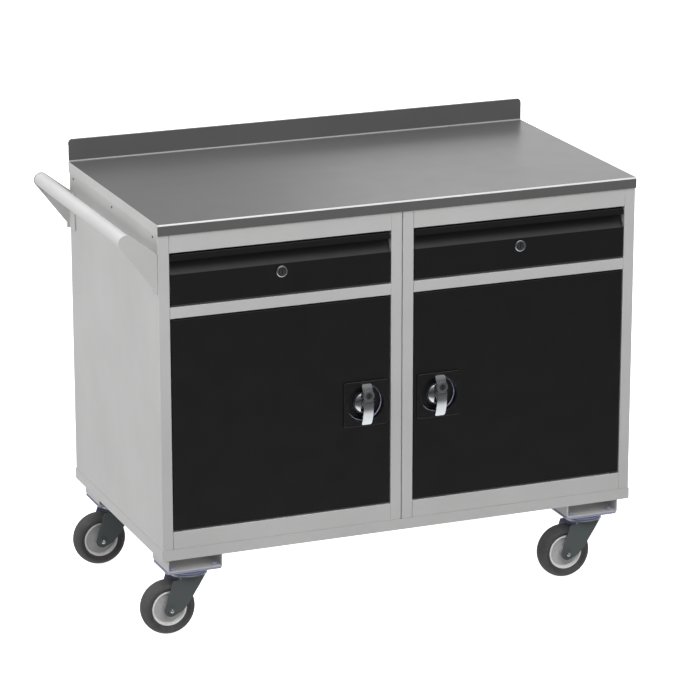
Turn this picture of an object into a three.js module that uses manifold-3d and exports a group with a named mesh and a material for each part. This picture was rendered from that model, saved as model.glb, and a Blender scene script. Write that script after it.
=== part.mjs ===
// A mobile workbench: two sheet-steel cabinets side by side, each with a drawer above a
// hinged door, under one folded worktop, on a plinth with four swivel casters and a push
// handle on the left side.
//
// Millimetres, Z up. While it is being built the origin is the bottom left front corner of
// the cabinets' footprint: X runs to the right, Y to the back. At the end the whole bench
// is moved so that the origin is the middle of its footprint on the floor.

import * as THREE from 'three';
import { mergeVertices } from 'three/addons/utils/BufferGeometryUtils.js';
import Module from 'manifold-3d';

// ---------------------------------------------------------------- driving dimensions

const BENCH_WIDTH = 1140;
const BENCH_DEPTH = 619;
const CASTER_HEIGHT = 158.5;
const CHANNEL_HEIGHT = 31;
const PLINTH_HEIGHT = 25;
const CABINET_HEIGHT = 716;
const WORKTOP_THICKNESS = 24.5;
const UPSTAND_HEIGHT = 53;

const GAP = 0.3;             // clearance between neighbouring pieces
const SHEET = 1.5;           // thickness of the folded steel sheet
const BENCH_SEAM = 1.5;      // gap between the two cabinets

const POST_WIDTH = 26;       // face of the upright on each side of an opening
const DOOR_OPENING = { bottom: 40, top: 528 };
const DRAWER_OPENING = { bottom: 553.5, top: 675 };
const COLLAR_DEPTH = 18;     // return of the front frame behind an opening
const FRONT_INSET = 0.5;     // doors and drawers sit this far behind the frame's face
const SIDE_PLAY = 2;         // gap at each side of a door or a drawer front
const DOOR_PLAY = { bottom: 2.5, top: 3 };
const DOOR_THICKNESS = 16;
const HINGE = { fromEdge: 17.5, pinRadius: 4, inFrame: 7, inDoor: 9 };

const LATCH = { fromEdge: 62, plate: 104, plateProud: 4, dishRadius: 43, dishDepth: 13.5 };
const LEVER = { length: 93, width: 23.7, thickness: 4, bow: 13, endGap: 1.2 };
const LEVER_HUB = { neck: 13, flare: 15, radius: 26.7, height: 8, bevel: 2 };
const TONGUE = { reach: 70, width: 22, thickness: 3 };

const DRAWER_FRONT = { playBottom: 2, playTop: 4, depth: 16.5, lip: 14, ledge: 627, scoop: 18.5 };
const DRAWER_LOCK = {
  height: 609, flangeRadius: 13.25, flangeProud: 3.5, bevel: 1.5, bodyRadius: 9.5, boreRadius: 7.3,
};
const DRAWER_CAM = { reach: 62, width: 16, front: 21, thickness: 3 };
const TRAY = { front: 24.6, length: 560, height: 90, lift: 8, sidePlay: 14.5 };
const RUNNER = { height: 40, depth: 12, lift: 18, inset: 1, front: 20, length: 580 };
const STANDOFF = { length: 30, fromEnd: 30, margin: 6 };
const RAIL_PLAY = 1.5;       // between a drawer's rail and its runner

const HANDLE = { reach: 69, height: 706, tubeRadius: 16, wall: 2, lobe: 17.5 };
const HANDLE_FOOT = { bottom: 587, top: 675, width: 40, thickness: 3, setback: 3.5 };

const CHANNEL = { width: 128, depth: 103, wall: 3 };
const CHANNEL_LEFT = [13, 986];      // left side of the left and the right channels
const CHANNEL_FRONT = [3, 489];      // front of the front and the rear channels

const CASTER_PLATE = { width: 130, depth: 104, thickness: 3.5, corner: 10 };
const CASTER_BOLT = { spanX: 98, spanY: 73, radius: 4, headRadius: 7.5, headHeight: 5 };
const WHEEL = { radius: 62.5, width: 47, side: 49.5, rim: 41.3, rimHalfWidth: 16.5 };
const WEB = { hubRadius: 12, inner: 14, innerHalf: 9, outer: 33, outerHalf: 7, flange: 36 };
const TRAIL = 49.3;                  // wheel axis behind the swivel axis
const FORK = {
  legOuter: 28.5, legThickness: 3, lobe: 15.5, crownRadius: 44, crownTop: 143, crownHeight: 4.5,
};
const KINGPIN = { radius: 7, nutRadius: 12, nutHeight: 8.7 };
const RACES = { radius: 42, groove: 3, lip: 0.8 };
const AXLE = { radius: 6, headRadius: 10.5, headHeight: 6 };

const ROUND = 24;            // sides of a large turned piece
const SMALL_ROUND = 12;      // sides of a small turned piece
const CASTER_ROUND = 16;     // sides of a caster's races and crown

const PLINTH_Z = CASTER_HEIGHT + CHANNEL_HEIGHT;
const CABINET_Z = PLINTH_Z + PLINTH_HEIGHT;
const WORKTOP_Z = CABINET_Z + CABINET_HEIGHT;
const CABINET_WIDTH = (BENCH_WIDTH - BENCH_SEAM) / 2;
const OPENING_LEFT = POST_WIDTH;
const OPENING_RIGHT = CABINET_WIDTH - POST_WIDTH;

// ---------------------------------------------------------------- materials

function finish(color, roughness, metalness) {
  return () => new THREE.MeshStandardMaterial({ color, roughness, metalness });
}

const lightGrey = finish(0xb4b4b2, 0.55, 0.1);
const worktopGrey = finish(0x8a8a8a, 0.5, 0.2);
const matteBlack = finish(0x1d1d1d, 0.55, 0.1);
const blackPlastic = finish(0x161616, 0.5, 0);
const chrome = finish(0xd8dadc, 0.12, 1);
const zinc = finish(0x9fa5c4, 0.35, 0.8);
const slate = finish(0x4a4e50, 0.5, 0.3);
const rubber = finish(0x474747, 0.8, 0);
const wheelGrey = finish(0x9c9c9c, 0.5, 0);
const board = finish(0xb08a5a, 0.8, 0);

// ---------------------------------------------------------------- solids

const wasm = await Module();
wasm.setup();

// The closed solid that a geometry's surface encloses, whichever way its faces point.
function solidOf(geometry) {
  const bare = new THREE.BufferGeometry();
  bare.setAttribute('position', geometry.getAttribute('position'));
  bare.setIndex(geometry.index);
  const merged = mergeVertices(bare, 1e-4);
  const corners = merged.getAttribute('position');
  const index = merged.index.array;
  const triangles = [];
  const [a, b, c] = [new THREE.Vector3(), new THREE.Vector3(), new THREE.Vector3()];
  let volume = 0;
  for (let i = 0; i < index.length; i += 3) {
    const [p, q, r] = [index[i], index[i + 1], index[i + 2]];
    if (p === q || q === r || r === p) continue;
    triangles.push([p, q, r]);
    a.fromBufferAttribute(corners, p);
    b.fromBufferAttribute(corners, q);
    c.fromBufferAttribute(corners, r);
    volume += a.dot(b.cross(c));
  }
  const outward = volume > 0 ? triangles : triangles.map(([p, q, r]) => [p, r, q]);
  return new wasm.Manifold(new wasm.Mesh({
    numProp: 3,
    vertProperties: new Float32Array(corners.array),
    triVerts: new Uint32Array(outward.flat()),
  }));
}

function geometryOf(solid) {
  const mesh = solid.getMesh();
  const geometry = new THREE.BufferGeometry();
  geometry.setAttribute('position', new THREE.BufferAttribute(mesh.vertProperties, 3));
  geometry.setIndex(new THREE.BufferAttribute(mesh.triVerts, 1));
  geometry.computeVertexNormals();
  return geometry;
}

function union(...solids) {
  return solids.reduce((whole, solid) => whole.add(solid));
}

function cut(solid, ...tools) {
  return tools.reduce((left, tool) => left.subtract(tool), solid);
}

// A box between two limits on each axis, given in either order.
function block([x0, x1], [y0, y1], [z0, z1]) {
  const size = [Math.abs(x1 - x0), Math.abs(y1 - y0), Math.abs(z1 - z0)];
  const box = new THREE.BoxGeometry(...size);
  return solidOf(box.translate((x0 + x1) / 2, (y0 + y1) / 2, (z0 + z1) / 2));
}

function extruded(outline, length, basis) {
  const shape = new THREE.Shape(outline.map(([u, v]) => new THREE.Vector2(u, v)));
  const prism = new THREE.ExtrudeGeometry(shape, { depth: length, bevelEnabled: false });
  return prism.applyMatrix4(basis);
}

// Prisms along one axis; the outline holds the other two coordinates in X, Y, Z order.
function prismX(outline, [x0, x1]) {
  const basis = new THREE.Matrix4().set(0, 0, 1, x0, 1, 0, 0, 0, 0, 1, 0, 0, 0, 0, 0, 1);
  return solidOf(extruded(outline, x1 - x0, basis));
}

function prismY(outline, [y0, y1]) {
  const basis = new THREE.Matrix4().set(1, 0, 0, 0, 0, 0, -1, y1, 0, 1, 0, 0, 0, 0, 0, 1);
  return solidOf(extruded(outline, y1 - y0, basis));
}

function prismZ(outline, [z0, z1]) {
  const basis = new THREE.Matrix4().makeTranslation(0, 0, z0);
  return solidOf(extruded(outline, z1 - z0, basis));
}

// A turned solid. The profile lists [radius, height]; one that leaves the axis is closed
// on itself. The axis is the line through `centre` along Y or Z. About a Y axis, one of
// the flat sides points down, so a wheel rests on a side and not on a corner.
function turned(profile, axis, centre = [0, 0, 0], sides = ROUND) {
  const onAxis = profile[0][0] === 0 && profile.at(-1)[0] === 0;
  const closed = onAxis ? profile : [...profile, profile[0]];
  const points = closed.map(([r, h]) => new THREE.Vector2(r, h));
  const lathe = new THREE.LatheGeometry(points, sides, Math.PI / sides);
  if (axis === 'Z') lathe.rotateX(Math.PI / 2);
  return solidOf(lathe.translate(...centre));
}

function rod(radius, [start, end], axis, centre, sides = SMALL_ROUND) {
  return turned([[0, start], [radius, start], [radius, end], [0, end]], axis, centre, sides);
}

function arc([u, v], radiusU, radiusV, fromDegrees, toDegrees, steps) {
  return Array.from({ length: steps + 1 }, (_, i) => {
    const angle = THREE.MathUtils.degToRad(fromDegrees + (toDegrees - fromDegrees) * i / steps);
    return [u + radiusU * Math.cos(angle), v + radiusV * Math.sin(angle)];
  });
}

function roundedRectangle([u0, u1], [v0, v1], radius, steps = 3) {
  return [
    ...arc([u1 - radius, v1 - radius], radius, radius, 0, 90, steps),
    ...arc([u0 + radius, v1 - radius], radius, radius, 90, 180, steps),
    ...arc([u0 + radius, v0 + radius], radius, radius, 180, 270, steps),
    ...arc([u1 - radius, v0 + radius], radius, radius, 270, 360, steps),
  ];
}

// The outline of a bent sheet, from the line through the middle of its thickness.
function bentSheet(middle, thickness = SHEET) {
  const points = middle.map(([u, v]) => new THREE.Vector2(u, v));
  const normals = points.slice(1).map((point, i) => {
    const along = point.clone().sub(points[i]).normalize();
    return new THREE.Vector2(-along.y, along.x);
  });
  const side = (sign) => points.map((point, i) => {
    const before = normals[Math.max(i - 1, 0)];
    const after = normals[Math.min(i, normals.length - 1)];
    const mitre = before.clone().add(after).normalize();
    const reach = sign * thickness / 2 / mitre.dot(before);
    return [point.x + mitre.x * reach, point.y + mitre.y * reach];
  });
  return [...side(1), ...side(-1).reverse()];
}

// Adds one named piece to a group.
function addPiece(group, name, solid, material) {
  const mesh = new THREE.Mesh(geometryOf(solid), material());
  mesh.name = name;
  group.add(mesh);
}

// ---------------------------------------------------------------- worktop

const WORKTOP_OVERHANG = { front: 3.5, side: 1.5 };
const WORKTOP_EDGE_RADIUS = 4;
const UPSTAND_CORNER_RADIUS = 10;
const HEM_LENGTH = 15;

function worktopSheet() {
  const half = SHEET / 2;
  const front = -WORKTOP_OVERHANG.front + half;
  const back = BENCH_DEPTH + 0.7 + half;
  const top = WORKTOP_THICKNESS - half;
  const rim = WORKTOP_THICKNESS + UPSTAND_HEIGHT;
  const bend = WORKTOP_EDGE_RADIUS - half;
  const folded = prismX(bentSheet([
    [front, 0],
    ...arc([front + bend, top - bend], bend, bend, 180, 90, 4),
    ...arc([back - bend, top + bend], bend, bend, 270, 360, 4),
    [back, rim - half],
    [back + SHEET + GAP, rim - half],
    [back + SHEET + GAP, rim - HEM_LENGTH],
  ]), [-WORKTOP_OVERHANG.side, BENCH_WIDTH + WORKTOP_OVERHANG.side]);
  const sideFlange = (x) => block([x, x + SHEET], [front + half, back], [0, top]);
  const roundCorner = (x, inward) => {
    const r = UPSTAND_CORNER_RADIUS;
    const curve = arc([x + inward * r, rim - r], -inward * r, r, 0, 90, 5);
    const outside = [[x - inward, rim + 1], [x - inward, rim - r]];
    const outline = [...outside, ...curve, [x + inward * r, rim + 1]];
    return prismY(outline, [back - half - 1, back + 2 * SHEET + 1]);
  };
  return cut(
    union(folded, sideFlange(-WORKTOP_OVERHANG.side), sideFlange(BENCH_WIDTH)),
    roundCorner(-WORKTOP_OVERHANG.side, 1),
    roundCorner(BENCH_WIDTH + WORKTOP_OVERHANG.side, -1),
  ).translate(0, 0, WORKTOP_Z);
}

function worktopCore() {
  const inner = -WORKTOP_OVERHANG.front + SHEET + GAP;
  const bottom = WORKTOP_Z + GAP;
  const top = WORKTOP_Z + WORKTOP_THICKNESS - SHEET - GAP;
  // The front edge is eased, because the sheet bends round it.
  const ease = 3;
  return prismX([
    [inner, bottom], [inner, top - ease], [inner + ease, top],
    [BENCH_DEPTH, top], [BENCH_DEPTH, bottom],
  ], [GAP, BENCH_WIDTH - GAP]);
}

// ---------------------------------------------------------------- cabinets

// A cabinet is built with its door's hinge at the left and is mirrored for the other
// hand. The hinge axis runs through the middle of the door's thickness.
const DOOR_LEFT = OPENING_LEFT + SIDE_PLAY;
const DOOR_RIGHT = OPENING_RIGHT - SIDE_PLAY;
const DOOR_BOTTOM = DOOR_OPENING.bottom + DOOR_PLAY.bottom;
const DOOR_TOP = DOOR_OPENING.top - DOOR_PLAY.top;
const PIVOT_X = OPENING_LEFT + HINGE.fromEdge;
const HINGE_Y = FRONT_INSET + DOOR_THICKNESS / 2;
const LATCH_X = OPENING_RIGHT - LATCH.fromEdge;
const LATCH_Z = (DOOR_OPENING.bottom + DOOR_OPENING.top) / 2;

function cabinetShell() {
  const outer = block([0, CABINET_WIDTH], [0, BENCH_DEPTH], [GAP, CABINET_HEIGHT]);
  const inside = block(
    [SHEET, CABINET_WIDTH - SHEET], [-1, BENCH_DEPTH - SHEET],
    [GAP + SHEET, CABINET_HEIGHT - SHEET],
  );
  return cut(outer, inside);
}

// The front frame: uprights and rails of one sheet, with a return round each opening and
// a hole for each hinge pin, which stand at the left.
function frontFrame() {
  const edge = SHEET + GAP;
  const face = block(
    [edge, CABINET_WIDTH - edge], [0, SHEET], [GAP + edge, CABINET_HEIGHT - edge],
  );
  const around = ({ bottom, top }, margin, depth) => block(
    [OPENING_LEFT - margin, OPENING_RIGHT + margin], depth, [bottom - margin, top + margin],
  );
  const collars = [DOOR_OPENING, DRAWER_OPENING].map((o) => around(o, SHEET, [0, COLLAR_DEPTH]));
  const openings = [DOOR_OPENING, DRAWER_OPENING].map((o) => around(o, 0, [-1, COLLAR_DEPTH + 1]));
  const pinHole = (z) => rod(
    HINGE.pinRadius + GAP, [z - 2 * SHEET, z + 2 * SHEET], 'Z', [PIVOT_X, HINGE_Y, 0],
  );
  return cut(
    union(face, ...collars), ...openings,
    pinHole(DOOR_OPENING.bottom), pinHole(DOOR_OPENING.top),
  );
}

function doorPanel() {
  const back = FRONT_INSET + DOOR_THICKNESS;
  const outer = block([DOOR_LEFT, DOOR_RIGHT], [FRONT_INSET, back], [DOOR_BOTTOM, DOOR_TOP]);
  const inside = block(
    [DOOR_LEFT + SHEET, DOOR_RIGHT - SHEET], [FRONT_INSET + SHEET, back + 1],
    [DOOR_BOTTOM + SHEET, DOOR_TOP - SHEET],
  );
  const dishHole = rod(
    LATCH.dishRadius + SHEET + GAP, [-1, 2 * SHEET + 1], 'Y', [LATCH_X, 0, LATCH_Z], ROUND,
  );
  const pinHoles = rod(
    HINGE.pinRadius + GAP, [DOOR_BOTTOM - 1, DOOR_TOP + 1], 'Z', [PIVOT_X, HINGE_Y, 0],
  );
  return cut(outer, inside, dishHole, pinHoles);
}

// A hinge pin stands in the frame and reaches into the door's edge.
function hingePin(edge, into) {
  const span = [edge - into * HINGE.inFrame, edge + into * HINGE.inDoor];
  return rod(HINGE.pinRadius, span.sort((a, b) => a - b), 'Z', [PIVOT_X, HINGE_Y, 0]);
}

// The latch's sizes along Y, from the door's face outwards.
const PLATE_FRONT = FRONT_INSET - LATCH.plateProud;
const DISH_FLOOR = PLATE_FRONT + LATCH.dishDepth;
const LEVER_END = PLATE_FRONT - LEVER.endGap - LEVER.thickness / 2;
const LEVER_MIDDLE = LEVER_END - LEVER.bow;
const SPINDLE = { radius: 6, back: 25 };
const LATCH_BOSS = { rise: 23, radius: 13, proud: 2.5, depth: 10.5, plugRadius: 7, plugDepth: 8 };
const BOSS_FRONT = LEVER_MIDDLE - LEVER.thickness / 2 - LATCH_BOSS.proud;
const PLUG_SETBACK = 0.5;    // a plug's face behind the rim it sits in
const TONGUE_FRONT = COLLAR_DEPTH + 1.5;

function latchPlate() {
  const half = LATCH.plate / 2;
  const plate = prismY(
    roundedRectangle([-half, half], [-half, half], 6), [PLATE_FRONT, FRONT_INSET - GAP],
  );
  const cup = rod(
    LATCH.dishRadius + SHEET, [FRONT_INSET - GAP - 1, DISH_FLOOR + SHEET], 'Y', [0, 0, 0], ROUND,
  );
  const dish = rod(LATCH.dishRadius, [PLATE_FRONT - 1, DISH_FLOOR], 'Y', [0, 0, 0], ROUND);
  const bore = rod(SPINDLE.radius + GAP, [0, DISH_FLOOR + 5], 'Y');
  return cut(union(plate, cup), dish, bore).translate(LATCH_X, 0, LATCH_Z);
}

// The lever is a bowed strap on a round hub, with a lock boss above the hub. Its spindle
// runs through the door.
function latchLever() {
  const halfLength = LEVER.length / 2;
  const bowRadius = (halfLength ** 2 + LEVER.bow ** 2) / (2 * LEVER.bow);
  const halfAngle = THREE.MathUtils.radToDeg(Math.asin(halfLength / bowRadius));
  const centre = [LEVER_MIDDLE + bowRadius, 0];
  const bow = arc(centre, bowRadius, bowRadius, 180 + halfAngle, 180 - halfAngle, 8);
  const strap = prismX(bentSheet(bow, LEVER.thickness), [-LEVER.width / 2, LEVER.width / 2]);
  const { rise, depth, plugRadius, plugDepth } = LATCH_BOSS;
  const { neck, flare, radius, height, bevel } = LEVER_HUB;
  const hub = turned([
    [0, LEVER_MIDDLE], [neck, LEVER_MIDDLE], [flare, DISH_FLOOR - height],
    [radius, DISH_FLOOR - height + bevel], [radius, DISH_FLOOR - GAP],
    [SPINDLE.radius, DISH_FLOOR - GAP], [SPINDLE.radius, SPINDLE.back], [0, SPINDLE.back],
  ], 'Y');
  const boss = rod(
    LATCH_BOSS.radius, [BOSS_FRONT, BOSS_FRONT + depth], 'Y', [0, 0, rise], ROUND,
  );
  const socket = rod(
    plugRadius + GAP, [BOSS_FRONT - 1, BOSS_FRONT + plugDepth], 'Y', [0, 0, rise],
  );
  return cut(union(strap, hub, boss), socket).translate(LATCH_X, 0, LATCH_Z);
}

// The key slot's reach is a share of its plug's radius.
const KEY_SLOT = { halfWidth: 0.9, depth: 3, reach: 0.6 };

// A round lock plug whose face is at `front`, with its key slot upright.
function lockPlug(radius, front, back) {
  const { halfWidth, depth, reach } = KEY_SLOT;
  const slotZ = [-reach * radius, reach * radius];
  return cut(
    rod(radius, [front, back], 'Y'),
    block([-halfWidth, halfWidth], [front - 1, front + depth], slotZ),
  );
}

function latchLockPlug() {
  const { rise, plugRadius, plugDepth } = LATCH_BOSS;
  const front = BOSS_FRONT + PLUG_SETBACK;
  const plug = lockPlug(plugRadius, front, front + plugDepth - 1);
  return plug.translate(LATCH_X, 0, LATCH_Z + rise);
}

// The tongue hangs down while the door is unlatched.
function latchTongue() {
  const half = TONGUE.width / 2;
  const back = TONGUE_FRONT + TONGUE.thickness;
  const end = [[-half, -TONGUE.reach], [half, -TONGUE.reach]];
  const plate = prismY([...arc([0, 0], half, half, 0, 180, 6), ...end], [TONGUE_FRONT, back]);
  const bore = rod(SPINDLE.radius + GAP, [TONGUE_FRONT - 1, back + 1], 'Y');
  return cut(plate, bore).translate(LATCH_X, 0, LATCH_Z);
}

// ---------------------------------------------------------------- drawers

const FRONT_LEFT = OPENING_LEFT + SIDE_PLAY;
const FRONT_RIGHT = OPENING_RIGHT - SIDE_PLAY;
const DRAWER_X = CABINET_WIDTH / 2;
const LIP_CLIP = 5;
// The scoop leaves its ledge at 45 degrees and turns upright against the back wall.
const SCOOP_SLOPE = 7;
const SCOOP_TURN = 10;

// The drawer front is one folded sheet: a flat face, a scooped finger recess above its
// ledge, and a lip that hangs in front of the recess.
function drawerFront() {
  const half = SHEET / 2;
  const face = FRONT_INSET + half;
  const bottom = DRAWER_OPENING.bottom + DRAWER_FRONT.playBottom + half;
  const top = DRAWER_OPENING.top - DRAWER_FRONT.playTop - half;
  const wall = face + DRAWER_FRONT.scoop;
  const ledge = DRAWER_FRONT.ledge - half;
  const scoop = new THREE.CubicBezierCurve(
    new THREE.Vector2(face, ledge),
    new THREE.Vector2(face + SCOOP_SLOPE, ledge + SCOOP_SLOPE),
    new THREE.Vector2(wall, ledge + SCOOP_TURN),
    new THREE.Vector2(wall, top - DRAWER_FRONT.lip),
  );
  const folded = prismX(bentSheet([
    [FRONT_INSET + DRAWER_FRONT.depth, bottom],
    [face, bottom],
    ...scoop.getPoints(4).map((point) => point.toArray()),
    [wall, top],
    [face, top],
    [face, top + half - DRAWER_FRONT.lip],
  ]), [FRONT_LEFT, FRONT_RIGHT]);
  // The lip's upper corners are clipped.
  const clip = (x, inward) => prismY([
    [x - inward, top + half - LIP_CLIP], [x, top + half - LIP_CLIP],
    [x + inward * LIP_CLIP, top + half], [x + inward * LIP_CLIP, top + half + 1],
    [x - inward, top + half + 1],
  ], [FRONT_INSET - 1, FRONT_INSET + SHEET]);
  const lockHole = rod(
    DRAWER_LOCK.bodyRadius + GAP, [-1, 2 * SHEET + 1], 'Y',
    [DRAWER_X, 0, DRAWER_LOCK.height], ROUND,
  );
  return cut(folded, clip(FRONT_LEFT, 1), clip(FRONT_RIGHT, -1), lockHole);
}

const TRAY_LEFT = OPENING_LEFT + TRAY.sidePlay;
const TRAY_RIGHT = OPENING_RIGHT - TRAY.sidePlay;
const TRAY_BOTTOM = DRAWER_OPENING.bottom + TRAY.lift;
const RUNNER_BOTTOM = DRAWER_OPENING.bottom + RUNNER.lift;
const EAR_DROP = 7;          // the tray's ears end this far below the recess's ledge

// The tray is an open box. Its sides reach forward to the drawer front, and a rail on
// each side slides in the runner.
function drawerTray() {
  const back = TRAY.front + TRAY.length;
  const top = TRAY_BOTTOM + TRAY.height;
  const outer = block([TRAY_LEFT, TRAY_RIGHT], [TRAY.front, back], [TRAY_BOTTOM, top]);
  const inside = block(
    [TRAY_LEFT + SHEET, TRAY_RIGHT - SHEET], [TRAY.front + SHEET, back - SHEET],
    [TRAY_BOTTOM + SHEET, top + 1],
  );
  const earTop = DRAWER_FRONT.ledge - EAR_DROP;
  const earFront = FRONT_INSET + SHEET + GAP;
  const ear = (x) => block([x, x + SHEET], [earFront, TRAY.front + 1], [TRAY_BOTTOM, earTop]);
  const margin = SHEET + RAIL_PLAY;
  const railZ = [RUNNER_BOTTOM + margin, RUNNER_BOTTOM + RUNNER.height - margin];
  const railReach = TRAY.sidePlay - RUNNER.inset - margin;
  const rail = (x, outward) => block(
    [x - outward, x + outward * railReach], [TRAY.front + 1, back - 1], railZ,
  );
  return union(
    cut(outer, inside), ear(TRAY_LEFT), ear(TRAY_RIGHT - SHEET),
    rail(TRAY_LEFT + GAP, -1), rail(TRAY_RIGHT - GAP, 1),
  );
}

// A runner is a C-channel on two stand-offs from the cabinet's side. This is the left
// one; the right one is its mirror image.
function drawerRunner() {
  const web = OPENING_LEFT + RUNNER.inset + SHEET / 2;
  const lip = web - SHEET / 2 + RUNNER.depth;
  const [low, high] = [RUNNER_BOTTOM + SHEET / 2, RUNNER_BOTTOM + RUNNER.height - SHEET / 2];
  const ends = [RUNNER.front, RUNNER.front + RUNNER.length];
  const channel = prismY(bentSheet([[lip, low], [web, low], [web, high], [lip, high]]), ends);
  const { length, fromEnd, margin } = STANDOFF;
  const standoff = (y) => block(
    [SHEET + GAP, web], [y, y + length], [low + margin, high - margin],
  );
  return union(channel, standoff(ends[0] + fromEnd), standoff(ends[1] - fromEnd - length));
}

function drawerLockHousing() {
  const { flangeRadius, flangeProud, bevel, bodyRadius, boreRadius, height } = DRAWER_LOCK;
  const front = FRONT_INSET - flangeProud;
  const seat = FRONT_INSET - GAP;
  const back = DRAWER_CAM.front - 1;
  return turned([
    [boreRadius, front], [flangeRadius - bevel, front], [flangeRadius, front + bevel],
    [flangeRadius, seat], [bodyRadius, seat], [bodyRadius, back], [boreRadius, back],
  ], 'Y', [DRAWER_X, 0, height]);
}

// The plug carries the cam behind the drawer front; the cam lies level while unlocked.
function drawerLockPlug() {
  const radius = DRAWER_LOCK.boreRadius - GAP;
  const front = FRONT_INSET - DRAWER_LOCK.flangeProud + PLUG_SETBACK;
  const back = DRAWER_CAM.front + DRAWER_CAM.thickness;
  const half = DRAWER_CAM.width / 2;
  const outline = [
    ...arc([0, 0], half, half, 90, 270, 6), [DRAWER_CAM.reach, -half], [DRAWER_CAM.reach, half],
  ];
  const cam = prismY(outline, [DRAWER_CAM.front, back]);
  return union(lockPlug(radius, front, back), cam).translate(DRAWER_X, 0, DRAWER_LOCK.height);
}

// ---------------------------------------------------------------- plinth and handle

const PLINTH_PROUD = 1.2;
const PLINTH_WALL = 2;

function plinthFrame() {
  const span = (limit, margin) => [-margin, limit + margin];
  const outer = block(
    span(BENCH_WIDTH, PLINTH_PROUD), span(BENCH_DEPTH, PLINTH_PROUD), [PLINTH_Z, CABINET_Z],
  );
  const margin = PLINTH_PROUD - PLINTH_WALL;
  const inside = block(
    span(BENCH_WIDTH, margin), span(BENCH_DEPTH, margin), [PLINTH_Z + PLINTH_WALL, CABINET_Z + 1],
  );
  return cut(outer, inside);
}

const HANDLE_PLATE_Y = [
  HANDLE_FOOT.setback, BENCH_DEPTH - HANDLE_FOOT.setback - HANDLE_FOOT.thickness,
];

function handleTube() {
  const inner = HANDLE.tubeRadius - HANDLE.wall;
  const start = HANDLE_PLATE_Y[0] + HANDLE_FOOT.thickness + GAP;
  const end = HANDLE_PLATE_Y[1] - GAP;
  return turned([
    [inner, start], [HANDLE.tubeRadius, start], [HANDLE.tubeRadius, end], [inner, end],
  ], 'Y', [-HANDLE.reach, 0, CABINET_Z + HANDLE.height]);
}

// A tapered plate from the cabinet's side to a round lobe at the tube, with a foot flange
// that lies on the cabinet's side and points to the middle of the bench.
function handleBracket(y, inward) {
  const side = -GAP;
  const { bottom, top, thickness, width } = HANDLE_FOOT;
  const centre = [-HANDLE.reach, HANDLE.height];
  const plate = prismY([
    [side, bottom], [side, top],
    ...arc(centre, HANDLE.lobe, HANDLE.lobe, tangentAngle([side, top], centre, -1),
      tangentAngle([side, bottom], centre, 1) + 360, 10),
  ], [y, y + thickness]);
  const start = inward > 0 ? y : y + thickness - width;
  const foot = block([side - thickness, side], [start, start + width], [bottom, top]);
  return union(plate, foot).translate(0, 0, CABINET_Z);
}

// The angle on the handle's lobe at which a line from `point` touches it.
function tangentAngle(point, centre, turn) {
  const dx = point[0] - centre[0];
  const dz = point[1] - centre[1];
  const spread = Math.acos(HANDLE.lobe / Math.hypot(dx, dz));
  return THREE.MathUtils.radToDeg(Math.atan2(dz, dx) - turn * spread);
}

// ---------------------------------------------------------------- casters

// The swivel axis stands in the middle of the channel.
const SWIVEL_X = CHANNEL.width / 2;
const SWIVEL_Y = CHANNEL.depth / 2;
const CROWN_BOTTOM = FORK.crownTop - FORK.crownHeight;

function boltPlaces() {
  const [x, y] = [CASTER_BOLT.spanX / 2, CASTER_BOLT.spanY / 2];
  return [[-x, -y], [x, -y], [-x, y], [x, y]];
}

// The channel, in the caster's own frame: the swivel axis is the Z axis.
function casterChannel() {
  const half = CHANNEL.wall / 2;
  const [left, right] = [-SWIVEL_X + half, CHANNEL.width - SWIVEL_X - half];
  const [bottom, top] = [CASTER_HEIGHT + GAP + half, PLINTH_Z - GAP];
  const middle = [[left, top], [left, bottom], [right, bottom], [right, top]];
  const outline = bentSheet(middle, CHANNEL.wall);
  const channel = prismY(outline, [-SWIVEL_Y, CHANNEL.depth - SWIVEL_Y]);
  const holes = boltPlaces().map(([x, y]) => rod(
    CASTER_BOLT.radius + GAP, [bottom - CHANNEL.wall, bottom + CHANNEL.wall], 'Z', [x, y, 0], 8,
  ));
  return cut(channel, ...holes);
}

// The mounting plate, with its bolts, its ball races and the kingpin with its nut.
function casterPlate() {
  const bottom = CASTER_HEIGHT - CASTER_PLATE.thickness;
  const [x, y] = [CASTER_PLATE.width / 2, CASTER_PLATE.depth / 2];
  const outline = roundedRectangle([-x, x], [-y, y], CASTER_PLATE.corner);
  const plate = prismZ(outline, [bottom, CASTER_HEIGHT]);
  const raceBottom = FORK.crownTop + GAP;
  const middle = (raceBottom + bottom) / 2;
  const { radius, groove, lip } = RACES;
  const nutTop = CROWN_BOTTOM - GAP;
  const races = turned([
    [0, bottom + 1], [radius - 2 * lip, bottom + 1], [radius - lip, middle + lip],
    [radius - groove, middle], [radius, middle - lip], [radius, raceBottom],
    [KINGPIN.radius, raceBottom], [KINGPIN.radius, nutTop], [KINGPIN.nutRadius, nutTop],
    [KINGPIN.nutRadius, nutTop - KINGPIN.nutHeight], [0, nutTop - KINGPIN.nutHeight],
  ], 'Z', [0, 0, 0], CASTER_ROUND);
  const head = CASTER_HEIGHT + GAP + CHANNEL.wall + GAP;
  const bolts = boltPlaces().flatMap(([bx, by]) => [
    rod(CASTER_BOLT.radius, [CASTER_HEIGHT - 1, head + 1], 'Z', [bx, by, 0], 8),
    rod(CASTER_BOLT.headRadius, [head, head + CASTER_BOLT.headHeight], 'Z', [bx, by, 0], 6),
  ]);
  return union(plate, races, ...bolts);
}

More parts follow.
